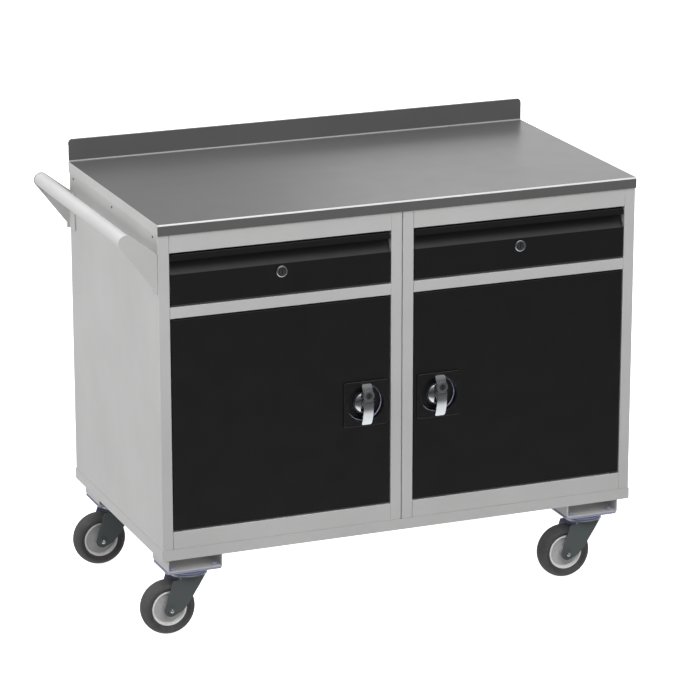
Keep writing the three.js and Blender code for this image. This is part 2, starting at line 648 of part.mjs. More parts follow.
// The fork: a round crown and two legs that reach back and down to the axle. A notch
// behind the crown parts each leg from it.
function casterFork() {
  const { legOuter, legThickness, lobe, crownRadius, crownTop } = FORK;
  const bore = KINGPIN.radius + GAP;
  const bevel = 2;
  const crown = turned([
    [bore, CROWN_BOTTOM], [crownRadius, CROWN_BOTTOM], [crownRadius, crownTop - bevel],
    [crownRadius - bevel, crownTop], [bore, crownTop],
  ], 'Z', [0, 0, 0], CASTER_ROUND);
  const crownX = Math.sqrt(crownRadius ** 2 - legOuter ** 2) - 1;
  const notch = [[-28, CROWN_BOTTOM + 0.5], [-26, 136], [-28, 132.5], [-44, 131.5]];
  const leadingEdge = [[-23, 57], [-6, 76], [5, 94], [18, 114]];
  const outline = [
    [-crownX, CROWN_BOTTOM + 1], [-crownX, CROWN_BOTTOM + 0.5], ...notch,
    ...arc([-TRAIL, WHEEL.radius], lobe, lobe, 168, 285, 6), ...leadingEdge,
    [crownX, CROWN_BOTTOM], [crownX, CROWN_BOTTOM + 1],
  ];
  const leg = (y) => prismY(outline, [y, y + legThickness]);
  const across = [-legOuter - 1, legOuter + 1];
  const axleHole = rod(AXLE.radius + GAP, across, 'Y', [-TRAIL, 0, WHEEL.radius]);
  return cut(union(crown, leg(-legOuter), leg(legOuter - legThickness)), axleHole);
}

function axleBolt() {
  const face = FORK.legOuter + GAP;
  const head = (from, to) => rod(AXLE.headRadius, [from, to], 'Y', [0, 0, 0], 6);
  return union(
    rod(AXLE.radius, [-face - 1, face + 1], 'Y'),
    head(-face - AXLE.headHeight, -face),
    head(face, face + AXLE.headHeight),
  ).translate(-TRAIL, 0, WHEEL.radius);
}

function wheelCentre() {
  const hubHalf = FORK.legOuter - FORK.legThickness - 2 * GAP;
  const { hubRadius, inner, innerHalf, outer, outerHalf, flange } = WEB;
  const half = [
    [AXLE.radius + GAP, hubHalf], [hubRadius, hubHalf], [inner, innerHalf], [outer, outerHalf],
    [flange, WHEEL.rimHalfWidth], [WHEEL.rim - GAP, WHEEL.rimHalfWidth],
  ];
  const otherHalf = half.map(([r, y]) => [r, -y]).reverse();
  return turned([...half, ...otherHalf], 'Y', [-TRAIL, 0, WHEEL.radius]);
}

// The tyre's tread is half an ellipse across its width.
function tyre() {
  const { radius, width, side, rim, rimHalfWidth } = WHEEL;
  const tread = arc([side, 0], radius - side, width / 2, -90, 90, 8);
  return turned(
    [[rim, -rimHalfWidth], ...tread, [rim, rimHalfWidth]], 'Y', [-TRAIL, 0, radius],
  );
}

// ---------------------------------------------------------------- assembly

const bench = new THREE.Group();

addPiece(bench, 'worktop_sheet', worktopSheet(), worktopGrey);
addPiece(bench, 'worktop_core', worktopCore(), board);
addPiece(bench, 'plinth_frame', plinthFrame(), lightGrey);
addPiece(bench, 'handle_tube', handleTube(), lightGrey);
addPiece(bench, 'handle_front_bracket', handleBracket(HANDLE_PLATE_Y[0], 1), lightGrey);
addPiece(bench, 'handle_rear_bracket', handleBracket(HANDLE_PLATE_Y[1], -1), lightGrey);

// Reflects a solid in the cabinet's middle plane.
function mirrored(solid) {
  return solid.mirror([1, 0, 0]).translate(CABINET_WIDTH, 0, 0);
}

function addCabinet(side, x, doorHand) {
  const cabinet = new THREE.Group();
  cabinet.position.set(x, 0, CABINET_Z);
  const add = (name, solid, material) => addPiece(cabinet, `${side}_${name}`, solid, material);
  add('cabinet_shell', cabinetShell(), lightGrey);
  add('front_frame', doorHand(frontFrame()), lightGrey);
  add('drawer_front', drawerFront(), matteBlack);
  add('drawer_tray', drawerTray(), lightGrey);
  add('drawer_left_runner', drawerRunner(), zinc);
  add('drawer_right_runner', mirrored(drawerRunner()), zinc);
  add('drawer_lock_housing', drawerLockHousing(), chrome);
  add('drawer_lock_plug', drawerLockPlug(), zinc);
  add('door_panel', doorHand(doorPanel()), matteBlack);
  add('door_lower_pin', doorHand(hingePin(DOOR_OPENING.bottom, 1)), zinc);
  add('door_upper_pin', doorHand(hingePin(DOOR_OPENING.top, -1)), zinc);
  add('latch_plate', doorHand(latchPlate()), blackPlastic);
  add('latch_lever', doorHand(latchLever()), chrome);
  add('latch_lock_plug', doorHand(latchLockPlug()), chrome);
  add('latch_tongue', doorHand(latchTongue()), zinc);
  bench.add(cabinet);
}

addCabinet('left', 0, (solid) => solid);
addCabinet('right', CABINET_WIDTH + BENCH_SEAM, mirrored);

function addCaster(corner, x, y) {
  const caster = new THREE.Group();
  caster.position.set(x + SWIVEL_X, y + SWIVEL_Y, 0);
  const add = (name, solid, material) => addPiece(caster, `${corner}_${name}`, solid, material);
  add('caster_channel', casterChannel(), lightGrey);
  add('caster_plate', casterPlate(), zinc);
  add('caster_fork', casterFork(), slate);
  add('axle_bolt', axleBolt(), zinc);
  add('wheel_centre', wheelCentre(), wheelGrey);
  add('tyre', tyre(), rubber);
  bench.add(caster);
}

['front', 'rear'].forEach((row, j) => {
  ['left', 'right'].forEach((side, i) => {
    addCaster(`${row}_${side}`, CHANNEL_LEFT[i], CHANNEL_FRONT[j]);
  });
});

// The origin moves to the middle of the footprint, on the floor.
const limits = new THREE.Box3().setFromObject(bench);
const middle = limits.getCenter(new THREE.Vector3());
bench.position.set(-middle.x, -middle.y, -limits.min.z);

export default bench;
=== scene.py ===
"""The looks of a mobile workbench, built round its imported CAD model.

Shapes are made in millimetres in the model's own frame and become metres in `piece`.
Places come from the CAD nodes' boxes. Each cabinet piece is drawn once, for the left
cabinet, and is mirrored for the right one.
"""

import math

import bmesh
import bpy
from mathutils import Matrix, Vector


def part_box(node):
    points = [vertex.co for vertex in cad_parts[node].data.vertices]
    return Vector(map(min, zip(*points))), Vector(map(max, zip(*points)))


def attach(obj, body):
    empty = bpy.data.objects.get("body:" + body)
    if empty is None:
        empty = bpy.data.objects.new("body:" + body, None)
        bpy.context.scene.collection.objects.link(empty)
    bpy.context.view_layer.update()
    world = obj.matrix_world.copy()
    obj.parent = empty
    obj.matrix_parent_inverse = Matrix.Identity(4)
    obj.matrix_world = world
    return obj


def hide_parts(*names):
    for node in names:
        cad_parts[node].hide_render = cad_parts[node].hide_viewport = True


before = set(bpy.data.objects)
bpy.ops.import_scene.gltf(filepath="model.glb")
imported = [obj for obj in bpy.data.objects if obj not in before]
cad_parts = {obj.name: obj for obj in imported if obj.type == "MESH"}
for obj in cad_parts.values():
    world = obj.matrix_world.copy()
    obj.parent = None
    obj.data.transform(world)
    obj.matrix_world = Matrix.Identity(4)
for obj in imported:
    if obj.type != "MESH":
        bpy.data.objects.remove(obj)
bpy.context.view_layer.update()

MM = 0.001
SIDES = ("left", "right")
CORNERS = ("front_left", "front_right", "rear_left", "rear_right")


def box_mm(node):
    """The lowest and highest corner of a CAD node, in millimetres."""
    low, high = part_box(node)
    return low / MM, high / MM


# ------------------------------------------------------------------ outlines


def arc(centre, radius, start, end, steps):
    """Points on an arc from one angle to another, in degrees."""
    angles = [math.radians(start + (end - start) * i / steps) for i in range(steps + 1)]
    return [(centre[0] + radius * math.cos(a), centre[1] + radius * math.sin(a)) for a in angles]


def bezier(start, first, second, end, steps):
    """Points on a cubic curve between two points, drawn toward the two handles."""
    points = []
    for i in range(steps + 1):
        t = i / steps
        weights = ((1 - t) ** 3, 3 * t * (1 - t) ** 2, 3 * t * t * (1 - t), t ** 3)
        handles = zip(weights, (start, first, second, end))
        points.append(tuple(sum((w * Vector(p) for w, p in handles), Vector((0, 0)))))
    return points


def rounded(points, radius, steps=5, closed=False):
    """A line through the points, with a round of that radius at each corner."""
    line = [Vector(p) for p in points]
    count = len(line)
    radii = radius if isinstance(radius, (list, tuple)) else [radius] * count
    result = []
    for i, corner in enumerate(line):
        at_end = not closed and i in (0, count - 1)
        if at_end or radii[i] <= 0:
            result.append(tuple(corner))
            continue
        before = (line[i - 1] - corner).normalized()
        after = (line[(i + 1) % count] - corner).normalized()
        half = before.angle(after) / 2
        if half > math.radians(89.5):
            result.append(tuple(corner))
            continue
        reach = radii[i] / math.tan(half)
        centre = corner + (before + after).normalized() * (radii[i] / math.sin(half))
        start = corner + before * reach - centre
        turn = start.angle_signed(corner + after * reach - centre)
        for k in range(steps + 1):
            offset = start.copy()
            offset.rotate(Matrix.Rotation(-turn * k / steps, 2))
            result.append(tuple(centre + offset))
    return result


def rounded_rectangle(width, height, radius, steps=6):
    w, h = width / 2, height / 2
    return rounded([(-w, -h), (w, -h), (w, h), (-w, h)], radius, steps, closed=True)


def sheet(line, thickness=1.5):
    """The closed outline of a bent sheet, from the line through its middle."""
    points = [Vector(p) for p in line]
    normals = []
    for a, b in zip(points, points[1:]):
        along = (b - a).normalized()
        normals.append(Vector((-along.y, along.x)))
    sides = ([], [])
    for i, point in enumerate(points):
        before = normals[max(i - 1, 0)]
        mitre = (before + normals[min(i, len(normals) - 1)]).normalized()
        offset = mitre * (thickness / 2 / mitre.dot(before))
        sides[0].append(tuple(point + offset))
        sides[1].append(tuple(point - offset))
    return sides[0] + sides[1][::-1]


# ------------------------------------------------------------------ solids


def prism(outline, axis, start, end):
    """A closed outline drawn out along an axis; it holds the other two coordinates."""
    bm = bmesh.new()
    place = {
        "X": lambda u, v, h: (h, u, v),
        "Y": lambda u, v, h: (u, h, v),
        "Z": lambda u, v, h: (u, v, h),
    }[axis]
    rings = [[bm.verts.new(place(u, v, h)) for u, v in outline] for h in (start, end)]
    bm.faces.new(rings[0])
    bm.faces.new(rings[1])
    count = len(outline)
    for i in range(count):
        j = (i + 1) % count
        bm.faces.new((rings[0][i], rings[0][j], rings[1][j], rings[1][i]))
    return tidied(bm)


def block(x, y, z):
    return prism([(x[0], y[0]), (x[1], y[0]), (x[1], y[1]), (x[0], y[1])], "Z", *z)


def turned(profile, axis, centre=(0, 0, 0), segments=72):
    """A turned solid. The profile lists (radius, height); one off the axis is a ring."""
    on_axis = profile[0][0] == 0 and profile[-1][0] == 0
    bm = bmesh.new()
    rings = []
    for radius, height in profile:
        if radius == 0:
            rings.append([bm.verts.new((0, 0, height))] * segments)
            continue
        ring = []
        for k in range(segments):
            angle = math.tau * k / segments
            ring.append(bm.verts.new((radius * math.cos(angle), radius * math.sin(angle), height)))
        rings.append(ring)
    pairs = list(zip(rings, rings[1:]))
    if not on_axis:
        pairs.append((rings[-1], rings[0]))
    for one, other in pairs:
        for k in range(segments):
            n = (k + 1) % segments
            corners = [one[k], one[n], other[n], other[k]]
            unique = [v for i, v in enumerate(corners) if v not in corners[:i]]
            if len(unique) > 2:
                bm.faces.new(unique)
    if axis == "Y":
        bmesh.ops.rotate(bm, verts=bm.verts, matrix=Matrix.Rotation(-math.pi / 2, 3, "X"))
    bmesh.ops.translate(bm, verts=bm.verts, vec=centre)
    return tidied(bm)


def rod(radius, span, axis, centre=(0, 0, 0), segments=48):
    start, end = span
    return turned([(0, start), (radius, start), (radius, end), (0, end)], axis, centre, segments)


def tidied(bm):
    bmesh.ops.remove_doubles(bm, verts=bm.verts, dist=1e-4)
    bmesh.ops.recalc_face_normals(bm, faces=bm.faces)
    return bm


def together(*solids):
    """Several solids in one mesh, as they are."""
    mesh = bpy.data.meshes.new("together")
    whole = bmesh.new()
    for bm in solids:
        bm.to_mesh(mesh)
        whole.from_mesh(mesh)
        bm.free()
    bpy.data.meshes.remove(mesh)
    return whole


def combined(operation, base, *tools):
    """Joins the tools to a solid, or cuts them out of it."""
    for tool in tools:
        objects = []
        for bm in (base, tool):
            mesh = bpy.data.meshes.new("operand")
            bm.to_mesh(mesh)
            bm.free()
            objects.append(bpy.data.objects.new("operand", mesh))
            bpy.context.scene.collection.objects.link(objects[-1])
        modifier = objects[0].modifiers.new("combine", "BOOLEAN")
        modifier.operation = operation
        modifier.solver = "EXACT"
        modifier.object = objects[1]
        depsgraph = bpy.context.evaluated_depsgraph_get()
        evaluated = objects[0].evaluated_get(depsgraph)
        base = bmesh.new()
        base.from_mesh(evaluated.to_mesh())
        evaluated.to_mesh_clear()
        for obj in objects:
            mesh = obj.data
            bpy.data.objects.remove(obj)
            bpy.data.meshes.remove(mesh)
    bmesh.ops.remove_doubles(base, verts=base.verts, dist=1e-3)
    return base


def joined(base, *tools):
    return combined("UNION", base, *tools)


def cut(base, *tools):
    return combined("DIFFERENCE", base, *tools)


def moved(bm, offset):
    bmesh.ops.translate(bm, verts=bm.verts, vec=offset)
    return bm


SHARP = math.radians(32)


def piece(name, bm, material, body, slot, replaces=(), bevel=0.0, segments=2):
    """Makes the object of one visible piece. `material` may be a list, by face index."""
    bmesh.ops.recalc_face_normals(bm, faces=bm.faces)
    for face in bm.faces:
        face.smooth = True
    for edge in bm.edges:
        edge.smooth = len(edge.link_faces) == 2 and edge.calc_face_angle(math.pi) < SHARP
    bmesh.ops.scale(bm, verts=bm.verts, vec=(MM, MM, MM))
    mesh = bpy.data.meshes.new(name)
    bm.to_mesh(mesh)
    bm.free()
    obj = bpy.data.objects.new(name, mesh)
    bpy.context.scene.collection.objects.link(obj)
    for m in material if isinstance(material, (list, tuple)) else (material,):
        mesh.materials.append(m)
    round_edges(obj, bevel, segments)
    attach(obj, body)
    if replaces:
        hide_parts(*replaces)
    return obj


def round_edges(obj, width, segments=2):
    if width:
        bevel = obj.modifiers.new("round_edges", "BEVEL")
        bevel.width = width * MM
        bevel.segments = segments
        bevel.limit_method = "ANGLE"
        bevel.angle_limit = SHARP
        bevel.miter_outer = "MITER_ARC"
    normals = obj.modifiers.new("flat_faces_stay_flat", "WEIGHTED_NORMAL")
    normals.keep_sharp = True


# ------------------------------------------------------------------ materials


class Nodes:
    """Adds nodes to one material, joined by name."""

    def __init__(self, name):
        self.material = bpy.data.materials.new(name)
        self.material.use_nodes = True
        self.tree = self.material.node_tree
        self.shader = self.tree.nodes["Principled BSDF"]
        self.place = self.add("ShaderNodeTexCoord").outputs["Object"]

    def add(self, kind, inputs=None, **settings):
        node = self.tree.nodes.new(kind)
        for key, value in settings.items():
            setattr(node, key, value)
        for key, value in (inputs or {}).items():
            self.put(node.inputs[key], value)
        return node

    def put(self, socket, value):
        if isinstance(value, bpy.types.NodeSocket):
            self.tree.links.new(value, socket)
        else:
            socket.default_value = value

    def noise(self, size, detail=2.0, stretch=None):
        """Noise whose features are about `size` millimetres across."""
        place = self.place
        if stretch:
            mapping = self.add("ShaderNodeMapping", {"Vector": place, "Scale": stretch})
            place = mapping.outputs["Vector"]
        inputs = {"Vector": place, "Scale": 1 / (size * MM), "Detail": detail}
        return self.add("ShaderNodeTexNoise", inputs).outputs["Fac"]

    def spread(self, value, low, high, start=0.3, end=0.7):
        inputs = {"Value": value, 1: start, 2: end, 3: low, 4: high}
        return self.add("ShaderNodeMapRange", inputs).outputs["Result"]

    def mix(self, factor, a, b):
        node = self.add("ShaderNodeMix", data_type="RGBA")
        self.put(node.inputs[0], factor)
        self.put(node.inputs[6], a)
        self.put(node.inputs[7], b)
        return node.outputs[2]

    def times(self, a, b):
        node = self.add("ShaderNodeMath", operation="MULTIPLY")
        self.put(node.inputs[0], a)
        self.put(node.inputs[1], b)
        return node.outputs[0]

    def edges(self, radius):
        """1 on edges sharper than the radius in millimetres, and 0 on flat faces."""
        smoothed = self.add("ShaderNodeBevel", {"Radius": radius * MM}, samples=4)
        true = self.add("ShaderNodeNewGeometry").outputs["True Normal"]
        inputs = {0: smoothed.outputs["Normal"], 1: true}
        dot = self.add("ShaderNodeVectorMath", inputs, operation="DOT_PRODUCT")
        return self.spread(dot.outputs["Value"], 1.0, 0.0, 0.75, 0.97)

    def finish(self, color, roughness, height, depth, **constants):
        self.put(self.shader.inputs["Base Color"], color)
        self.put(self.shader.inputs["Roughness"], roughness)
        inputs = {"Height": height, "Distance": depth * MM, "Strength": 1.0}
        bump = self.add("ShaderNodeBump", inputs)
        self.put(self.shader.inputs["Normal"], bump.outputs["Normal"])
        for key, value in constants.items():
            self.shader.inputs[key.replace("_", " ")].default_value = value
        return self.material


def grey(value, tint=(1.0, 1.0, 1.0)):
    return (value * tint[0], value * tint[1], value * tint[2], 1.0)


def painted(name, value, tint, rough, peel, wear, bare, gloss=0.5, patchy=0.045):
    """Powder coat: orange peel, faint clouding, and edges rubbed thin."""
    n = Nodes(name)
    cloud = n.noise(180, 3.0)
    speck = n.noise(0.9, 2.0)
    base = n.mix(n.spread(cloud, 0, 1), grey(value * 0.965, tint), grey(value * 1.035, tint))
    flecked = n.mix(n.spread(speck, 0, 0.10, 0.55, 0.8), base, grey(value * 0.6, tint))
    rubbed = n.times(n.edges(1.2), n.spread(n.noise(14, 4.0), 0, wear, 0.35, 0.75))
    color = n.mix(rubbed, flecked, grey(bare))
    roughness = n.spread(n.noise(60, 4.0), rough - patchy, rough + patchy)
    constants = {"Specular_IOR_Level": gloss}
    return n.finish(color, roughness, n.noise(peel, 1.0), 0.012, **constants)


def plated(name, value, tint, rough, scratch, grain=0.004, metal=1.0):
    """Bright or zinc plating: fine grain, cloudy sheen and light scuffs."""
    n = Nodes(name)
    cloud = n.noise(25, 3.0)
    base = n.mix(n.spread(cloud, 0, 1), grey(value * 0.93, tint), grey(value * 1.05, tint))
    scuff = n.spread(n.noise(3.0, 6.0, (1, 1, 6)), 0, scratch, 0.6, 0.8)
    color = n.mix(scuff, base, grey(value * 0.7, tint))
    roughness = n.spread(n.noise(12, 5.0), rough * 0.8, rough * 1.35)
    return n.finish(color, roughness, n.noise(0.8, 3.0), grain, Metallic=metal)


def moulded(name, value, tint, rough, grain_size, grain_depth, dust, gloss=0.5):
    """Rubber or plastic: fine moulded grain, with dust in the cloudy parts."""
    n = Nodes(name)
    cloud = n.noise(30, 4.0)
    base = n.mix(n.spread(cloud, 0, 1), grey(value * 0.9, tint), grey(value * 1.1, tint))
    dusty = n.spread(n.noise(9, 5.0), 0, dust, 0.5, 0.8)
    color = n.mix(dusty, base, grey(0.35))
    roughness = n.spread(n.noise(10, 3.0), rough - 0.06, rough + 0.06)
    constants = {"Specular_IOR_Level": gloss}
    return n.finish(color, roughness, n.noise(grain_size, 2.0), grain_depth, **constants)


def wooden(name):
    n = Nodes(name)
    chips = n.noise(4, 5.0, (1, 1, 2.5))
    color = n.mix(n.spread(chips, 0, 1), (0.30, 0.20, 0.10, 1), (0.55, 0.40, 0.23, 1))
    return n.finish(color, n.spread(chips, 0.7, 0.9), chips, 0.2)


NEUTRAL = (1.0, 1.0, 0.995)
SLATE = (0.86, 0.98, 1.0)
LAVENDER = (0.82, 0.86, 1.18)
COOL = (0.95, 0.99, 1.02)

cabinet_paint = painted("cabinet_paint", 0.56, NEUTRAL, 0.45, 2.0, 0.25, 0.7)
worktop_paint = painted("worktop_paint", 0.122, NEUTRAL, 0.34, 2.2, 0.15, 0.4, patchy=0.012)
# Painted highlights: lighter copies of the worktop paint for its front bend and the upstand's fillet,
# where highlights fall.
worktop_edge_highlight = painted("worktop_edge_highlight", 0.78, NEUTRAL, 0.30, 2.2, 0.1, 0.85)
worktop_fillet_highlight = painted("worktop_fillet_highlight", 0.42, NEUTRAL, 0.30, 2.2, 0.1, 0.6)
front_paint = painted("front_paint", 0.0058, NEUTRAL, 0.34, 2.0, 0.10, 0.05, 0.8, 0.03)
handle_paint = painted("handle_paint", 0.66, NEUTRAL, 0.32, 2.0, 0.15, 0.8)
fork_plate = painted("fork_plate", 0.113, SLATE, 0.40, 1.2, 0.5, 0.4)
latch_plastic = moulded("latch_plastic", 0.0045, NEUTRAL, 0.36, 1.2, 0.002, 0.005, 0.8)
# Painted highlight: a lighter copy of the latch plastic for the escutcheon's bevel, where a highlight
# falls.
latch_plate_edge_highlight = moulded("latch_plate_edge_highlight", 0.03, NEUTRAL, 0.30, 1.2, 0.002, 0.005, 0.8)
chrome_plate = plated("chrome_plate", 0.80, COOL, 0.12, 0.15)
lock_metal = plated("lock_metal", 0.05, COOL, 0.34, 0.3, metal=0.2)
satin_metal = plated("satin_metal", 0.15, COOL, 0.32, 0.2, metal=0.3)
zinc_plate = plated("zinc_plate", 0.52, LAVENDER, 0.34, 0.25, 0.006, 0.3)
wheel_plastic = moulded("wheel_plastic", 0.50, NEUTRAL, 0.5, 0.9, 0.01, 0.08)
# Painted highlight: a lighter copy of the wheel plastic for the rim ring, standing in for the light it
# catches.
wheel_rim_highlight = moulded("wheel_rim_highlight", 0.92, NEUTRAL, 0.45, 0.9, 0.01, 0.05)
tyre_rubber = moulded("tyre_rubber", 0.070, NEUTRAL, 0.62, 0.8, 0.03, 0.08)
board = wooden("board")


# ------------------------------------------------------------------ worktop

BENCH_HIGH = box_mm("plinth_frame")[1]
SHEET = 1.5
WORKTOP_PLAY = 0.3
WALL_PLAY = 0.7
FRONT_FOLD = 3.2
WALL_FOLD = 4.0
HEM_FOLD = 0.8
HEM = 14
UPSTAND_CORNER = 11


def make_worktop():
    """The folded top with its upstand, and the light end caps beside it."""
    low, high = box_mm("worktop_sheet")
    core_high = box_mm("worktop_core")[1]
    thickness = core_high.z - low.z + SHEET + WORKTOP_PLAY
    half = SHEET / 2
    front = low.y + half
    wall = core_high.y + WALL_PLAY + half
    top = low.z + thickness - half
    rim = high.z - half
    hem = high.y - half
    line = rounded(
        [(front, low.z), (front, top), (wall, top), (wall, rim), (hem, rim), (hem, rim - HEM)],
        [0, FRONT_FOLD, WALL_FOLD, HEM_FOLD, HEM_FOLD, 0], 8,
    )
    plate = prism(sheet(line), "X", low.x + SHEET, high.x - SHEET)
    corners = []
    for x, inward in ((low.x, 1), (high.x, -1)):
        r = UPSTAND_CORNER
        edge = x + inward * SHEET
        curve = arc((edge + inward * r, high.z - r), r, 180 if inward > 0 else 0, 90, 8)
        outside = [(edge - inward * 2, high.z + 2), (edge - inward * 2, high.z - r)]
        outline = outside + curve + [(edge + inward * r, high.z + 2)]
        corners.append(prism(outline, "Y", wall - 3, high.y + 3))
    plate = cut(plate, *corners)
    # Painted highlights: the front bend and the upstand's fillet take the lighter copies of the worktop
    # paint, standing in for the highlights along them.
    for face in plate.faces:
        centre, normal = face.calc_center_median(), face.normal
        bent = normal.y < -0.1 and normal.z > 0.1 and centre.z > low.z + thickness - 6
        at_front = centre.y < front + 8
        face.material_index = (1 if at_front else 2) if bent else 0
    piece(
        "worktop_top", plate, [worktop_paint, worktop_edge_highlight, worktop_fillet_highlight], "root",
        "worktop_paint", ["worktop_sheet"], 0.35,
    )
    for side, x in (("left", low.x), ("right", high.x - SHEET)):
        outline = rounded(
            [(low.y + SHEET, low.z), (wall - half, low.z), (wall - half, top + half),
             (low.y + SHEET, top + half)],
            [0.5, 0.5, 0.5, 3.0], 4, closed=True,
        )
        cap = prism(outline, "X", x, x + SHEET)
        piece(f"worktop_{side}_cap", cap, cabinet_paint, "root", "cabinet_paint", (), 0.5)


# ------------------------------------------------------------------ cabinets

SHELL_LOW, SHELL_HIGH = box_mm("left_cabinet_shell")
ORIGIN = Vector((SHELL_LOW.x, SHELL_LOW.y, BENCH_HIGH.z))
WIDTH = SHELL_HIGH.x - SHELL_LOW.x
DEPTH = SHELL_HIGH.y - SHELL_LOW.y
HEIGHT = SHELL_HIGH.z - BENCH_HIGH.z
RIGHT_EDGE = box_mm("right_cabinet_shell")[1].x


def cabinet_box(node):
    """A left cabinet node's box, measured from the cabinet's front bottom left corner."""
    low, high = box_mm("left_" + node)
    return low - ORIGIN, high - ORIGIN


DOOR_LOW, DOOR_HIGH = cabinet_box("door_panel")
DRAWER_LOW, DRAWER_HIGH = cabinet_box("drawer_front")
PLATE_LOW, PLATE_HIGH = cabinet_box("latch_plate")
LEVER_LOW, LEVER_HIGH = cabinet_box("latch_lever")
PIN_LOW, PIN_HIGH = cabinet_box("door_lower_pin")
LATCH = (PLATE_LOW + PLATE_HIGH) / 2
COLLAR = cabinet_box("front_frame")[1].y
SIDE_PLAY = 2.0
DOOR_PLAY = (2.5, 3.0)
DRAWER_PLAY = (2.0, 4.0)
OPENING = (DOOR_LOW.x - SIDE_PLAY, DOOR_HIGH.x + SIDE_PLAY)
DOOR_OPENING = (DOOR_LOW.z - DOOR_PLAY[0], DOOR_HIGH.z + DOOR_PLAY[1])
DRAWER_OPENING = (DRAWER_LOW.z - DRAWER_PLAY[0], DRAWER_HIGH.z + DRAWER_PLAY[1])


def cabinet_piece(side, name, bm, *args, **keywords):
    """Places a piece drawn for the left cabinet in the cabinet on the given side."""
    if side == "right":
        bmesh.ops.scale(bm, verts=bm.verts, vec=(-1, 1, 1))
        moved(bm, (RIGHT_EDGE, ORIGIN.y, ORIGIN.z))
    else:
        moved(bm, ORIGIN)
    return piece(f"{side}_{name}", bm, *args, **keywords)


def cabinet_skin():
    """Sides, back and front posts of one bent sheet, with the top and the bottom."""
    half = SHEET / 2
    back = DEPTH - half
    line = rounded(
        [(OPENING[0] - half, COLLAR), (OPENING[0] - half, half), (half, half), (half, back),
         (WIDTH - half, back), (WIDTH - half, half), (OPENING[1] + half, half),
         (OPENING[1] + half, COLLAR)],
        [0, 0.9, 1.4, 1.4, 1.4, 1.4, 0.9, 0], 4,
    )
    gap = SHELL_LOW.z - BENCH_HIGH.z
    skin = prism(sheet(line), "Z", gap, HEIGHT)
    across = (SHEET, WIDTH - SHEET)
    along = (COLLAR, DEPTH - SHEET)
    floor = block(across, along, (gap, gap + SHEET))
    roof = block(across, along, (HEIGHT - SHEET, HEIGHT))
    return together(skin, floor, roof)


def front_rails():
    """The three rails between the posts, with a return at each opening."""
    half = SHEET / 2
    gap = SHELL_LOW.z - BENCH_HIGH.z
    low = DOOR_OPENING[0] - half
    middle = (DOOR_OPENING[1] + half, DRAWER_OPENING[0] - half)
    top = DRAWER_OPENING[1] + half
    lines = [
        [(COLLAR, low), (half, low), (half, gap)],
        [(COLLAR, middle[0]), (half, middle[0]), (half, middle[1]), (COLLAR, middle[1])],
        [(COLLAR, top), (half, top), (half, HEIGHT)],
    ]
    ends = (OPENING[0] + 0.25, OPENING[1] - 0.25)
    return together(*[prism(sheet(rounded(line, 0.9, 4)), "X", *ends) for line in lines])


DISH_RADIUS = 43
DISH_HOLE = DISH_RADIUS + SHEET + 1.8
DOOR_FOLD = 2.2
DOOR_LIP = 9
PIN_HOLE = 4.3
PIN_GAP = 6


def door():
    """A folded pan with a lip round its back, a hole for the latch and pin holes."""
    front, back = DOOR_LOW.y, DOOR_HIGH.y
    size = DOOR_HIGH - DOOR_LOW
    centre = (DOOR_LOW + DOOR_HIGH) / 2
    bm = block((DOOR_LOW.x, DOOR_HIGH.x), (front, back), (DOOR_LOW.z, DOOR_HIGH.z))
    front_edges = [e for e in bm.edges if all(abs(v.co.y - front) < 0.01 for v in e.verts)]
    bmesh.ops.bevel(
        bm, geom=front_edges, offset=DOOR_FOLD, segments=5, profile=0.5, affect="EDGES",
    )
    hollow = block(
        (DOOR_LOW.x + SHEET, DOOR_HIGH.x - SHEET), (front + SHEET, back + 1),
        (DOOR_LOW.z + SHEET, DOOR_HIGH.z - SHEET),
    )
    dish_hole = rod(DISH_HOLE, (-5, 5), "Y", (LATCH.x, 0, LATCH.z), 72)
    pin = ((PIN_LOW.x + PIN_HIGH.x) / 2, (PIN_LOW.y + PIN_HIGH.y) / 2, 0)
    pin_holes = rod(PIN_HOLE, (DOOR_LOW.z - 1, DOOR_HIGH.z + 1), "Z", pin, 24)
    pan = cut(bm, hollow, dish_hole, pin_holes)
    outer = rounded_rectangle(size.x - 2 * SHEET, size.z - 2 * SHEET, 1)
    edge = 2 * (SHEET + DOOR_LIP)
    inner = rounded_rectangle(size.x - edge, size.z - edge, 1)
    ring = cut(prism(outer, "Y", back - SHEET, back), prism(inner, "Y", back - 4, back + 2))
    pin_gap = rod(PIN_GAP, (DOOR_LOW.z - 1, DOOR_HIGH.z + 1), "Z", pin, 24)
    ring = cut(moved(ring, (centre.x, 0, centre.z)), pin_gap)
    return together(pan, ring)


# The drawer front's lip, how far its recess goes back and the recess's ledge. The recess
# leaves the ledge at 45 degrees and turns upright against its back wall.
LIP = 14
SCOOP = DRAWER_HIGH.y - DRAWER_LOW.y - SHEET
RECESS_HEIGHT = 44
LEDGE = DRAWER_HIGH.z - RECESS_HEIGHT
SLOPE = 9
TURN = 18
LIP_CLIP = 5
LOCK_BORE = 9.8
PLUG_RADIUS = 7.0
LOCK_LOW, LOCK_HIGH = cabinet_box("drawer_lock_housing")
LOCK = (LOCK_LOW + LOCK_HIGH) / 2


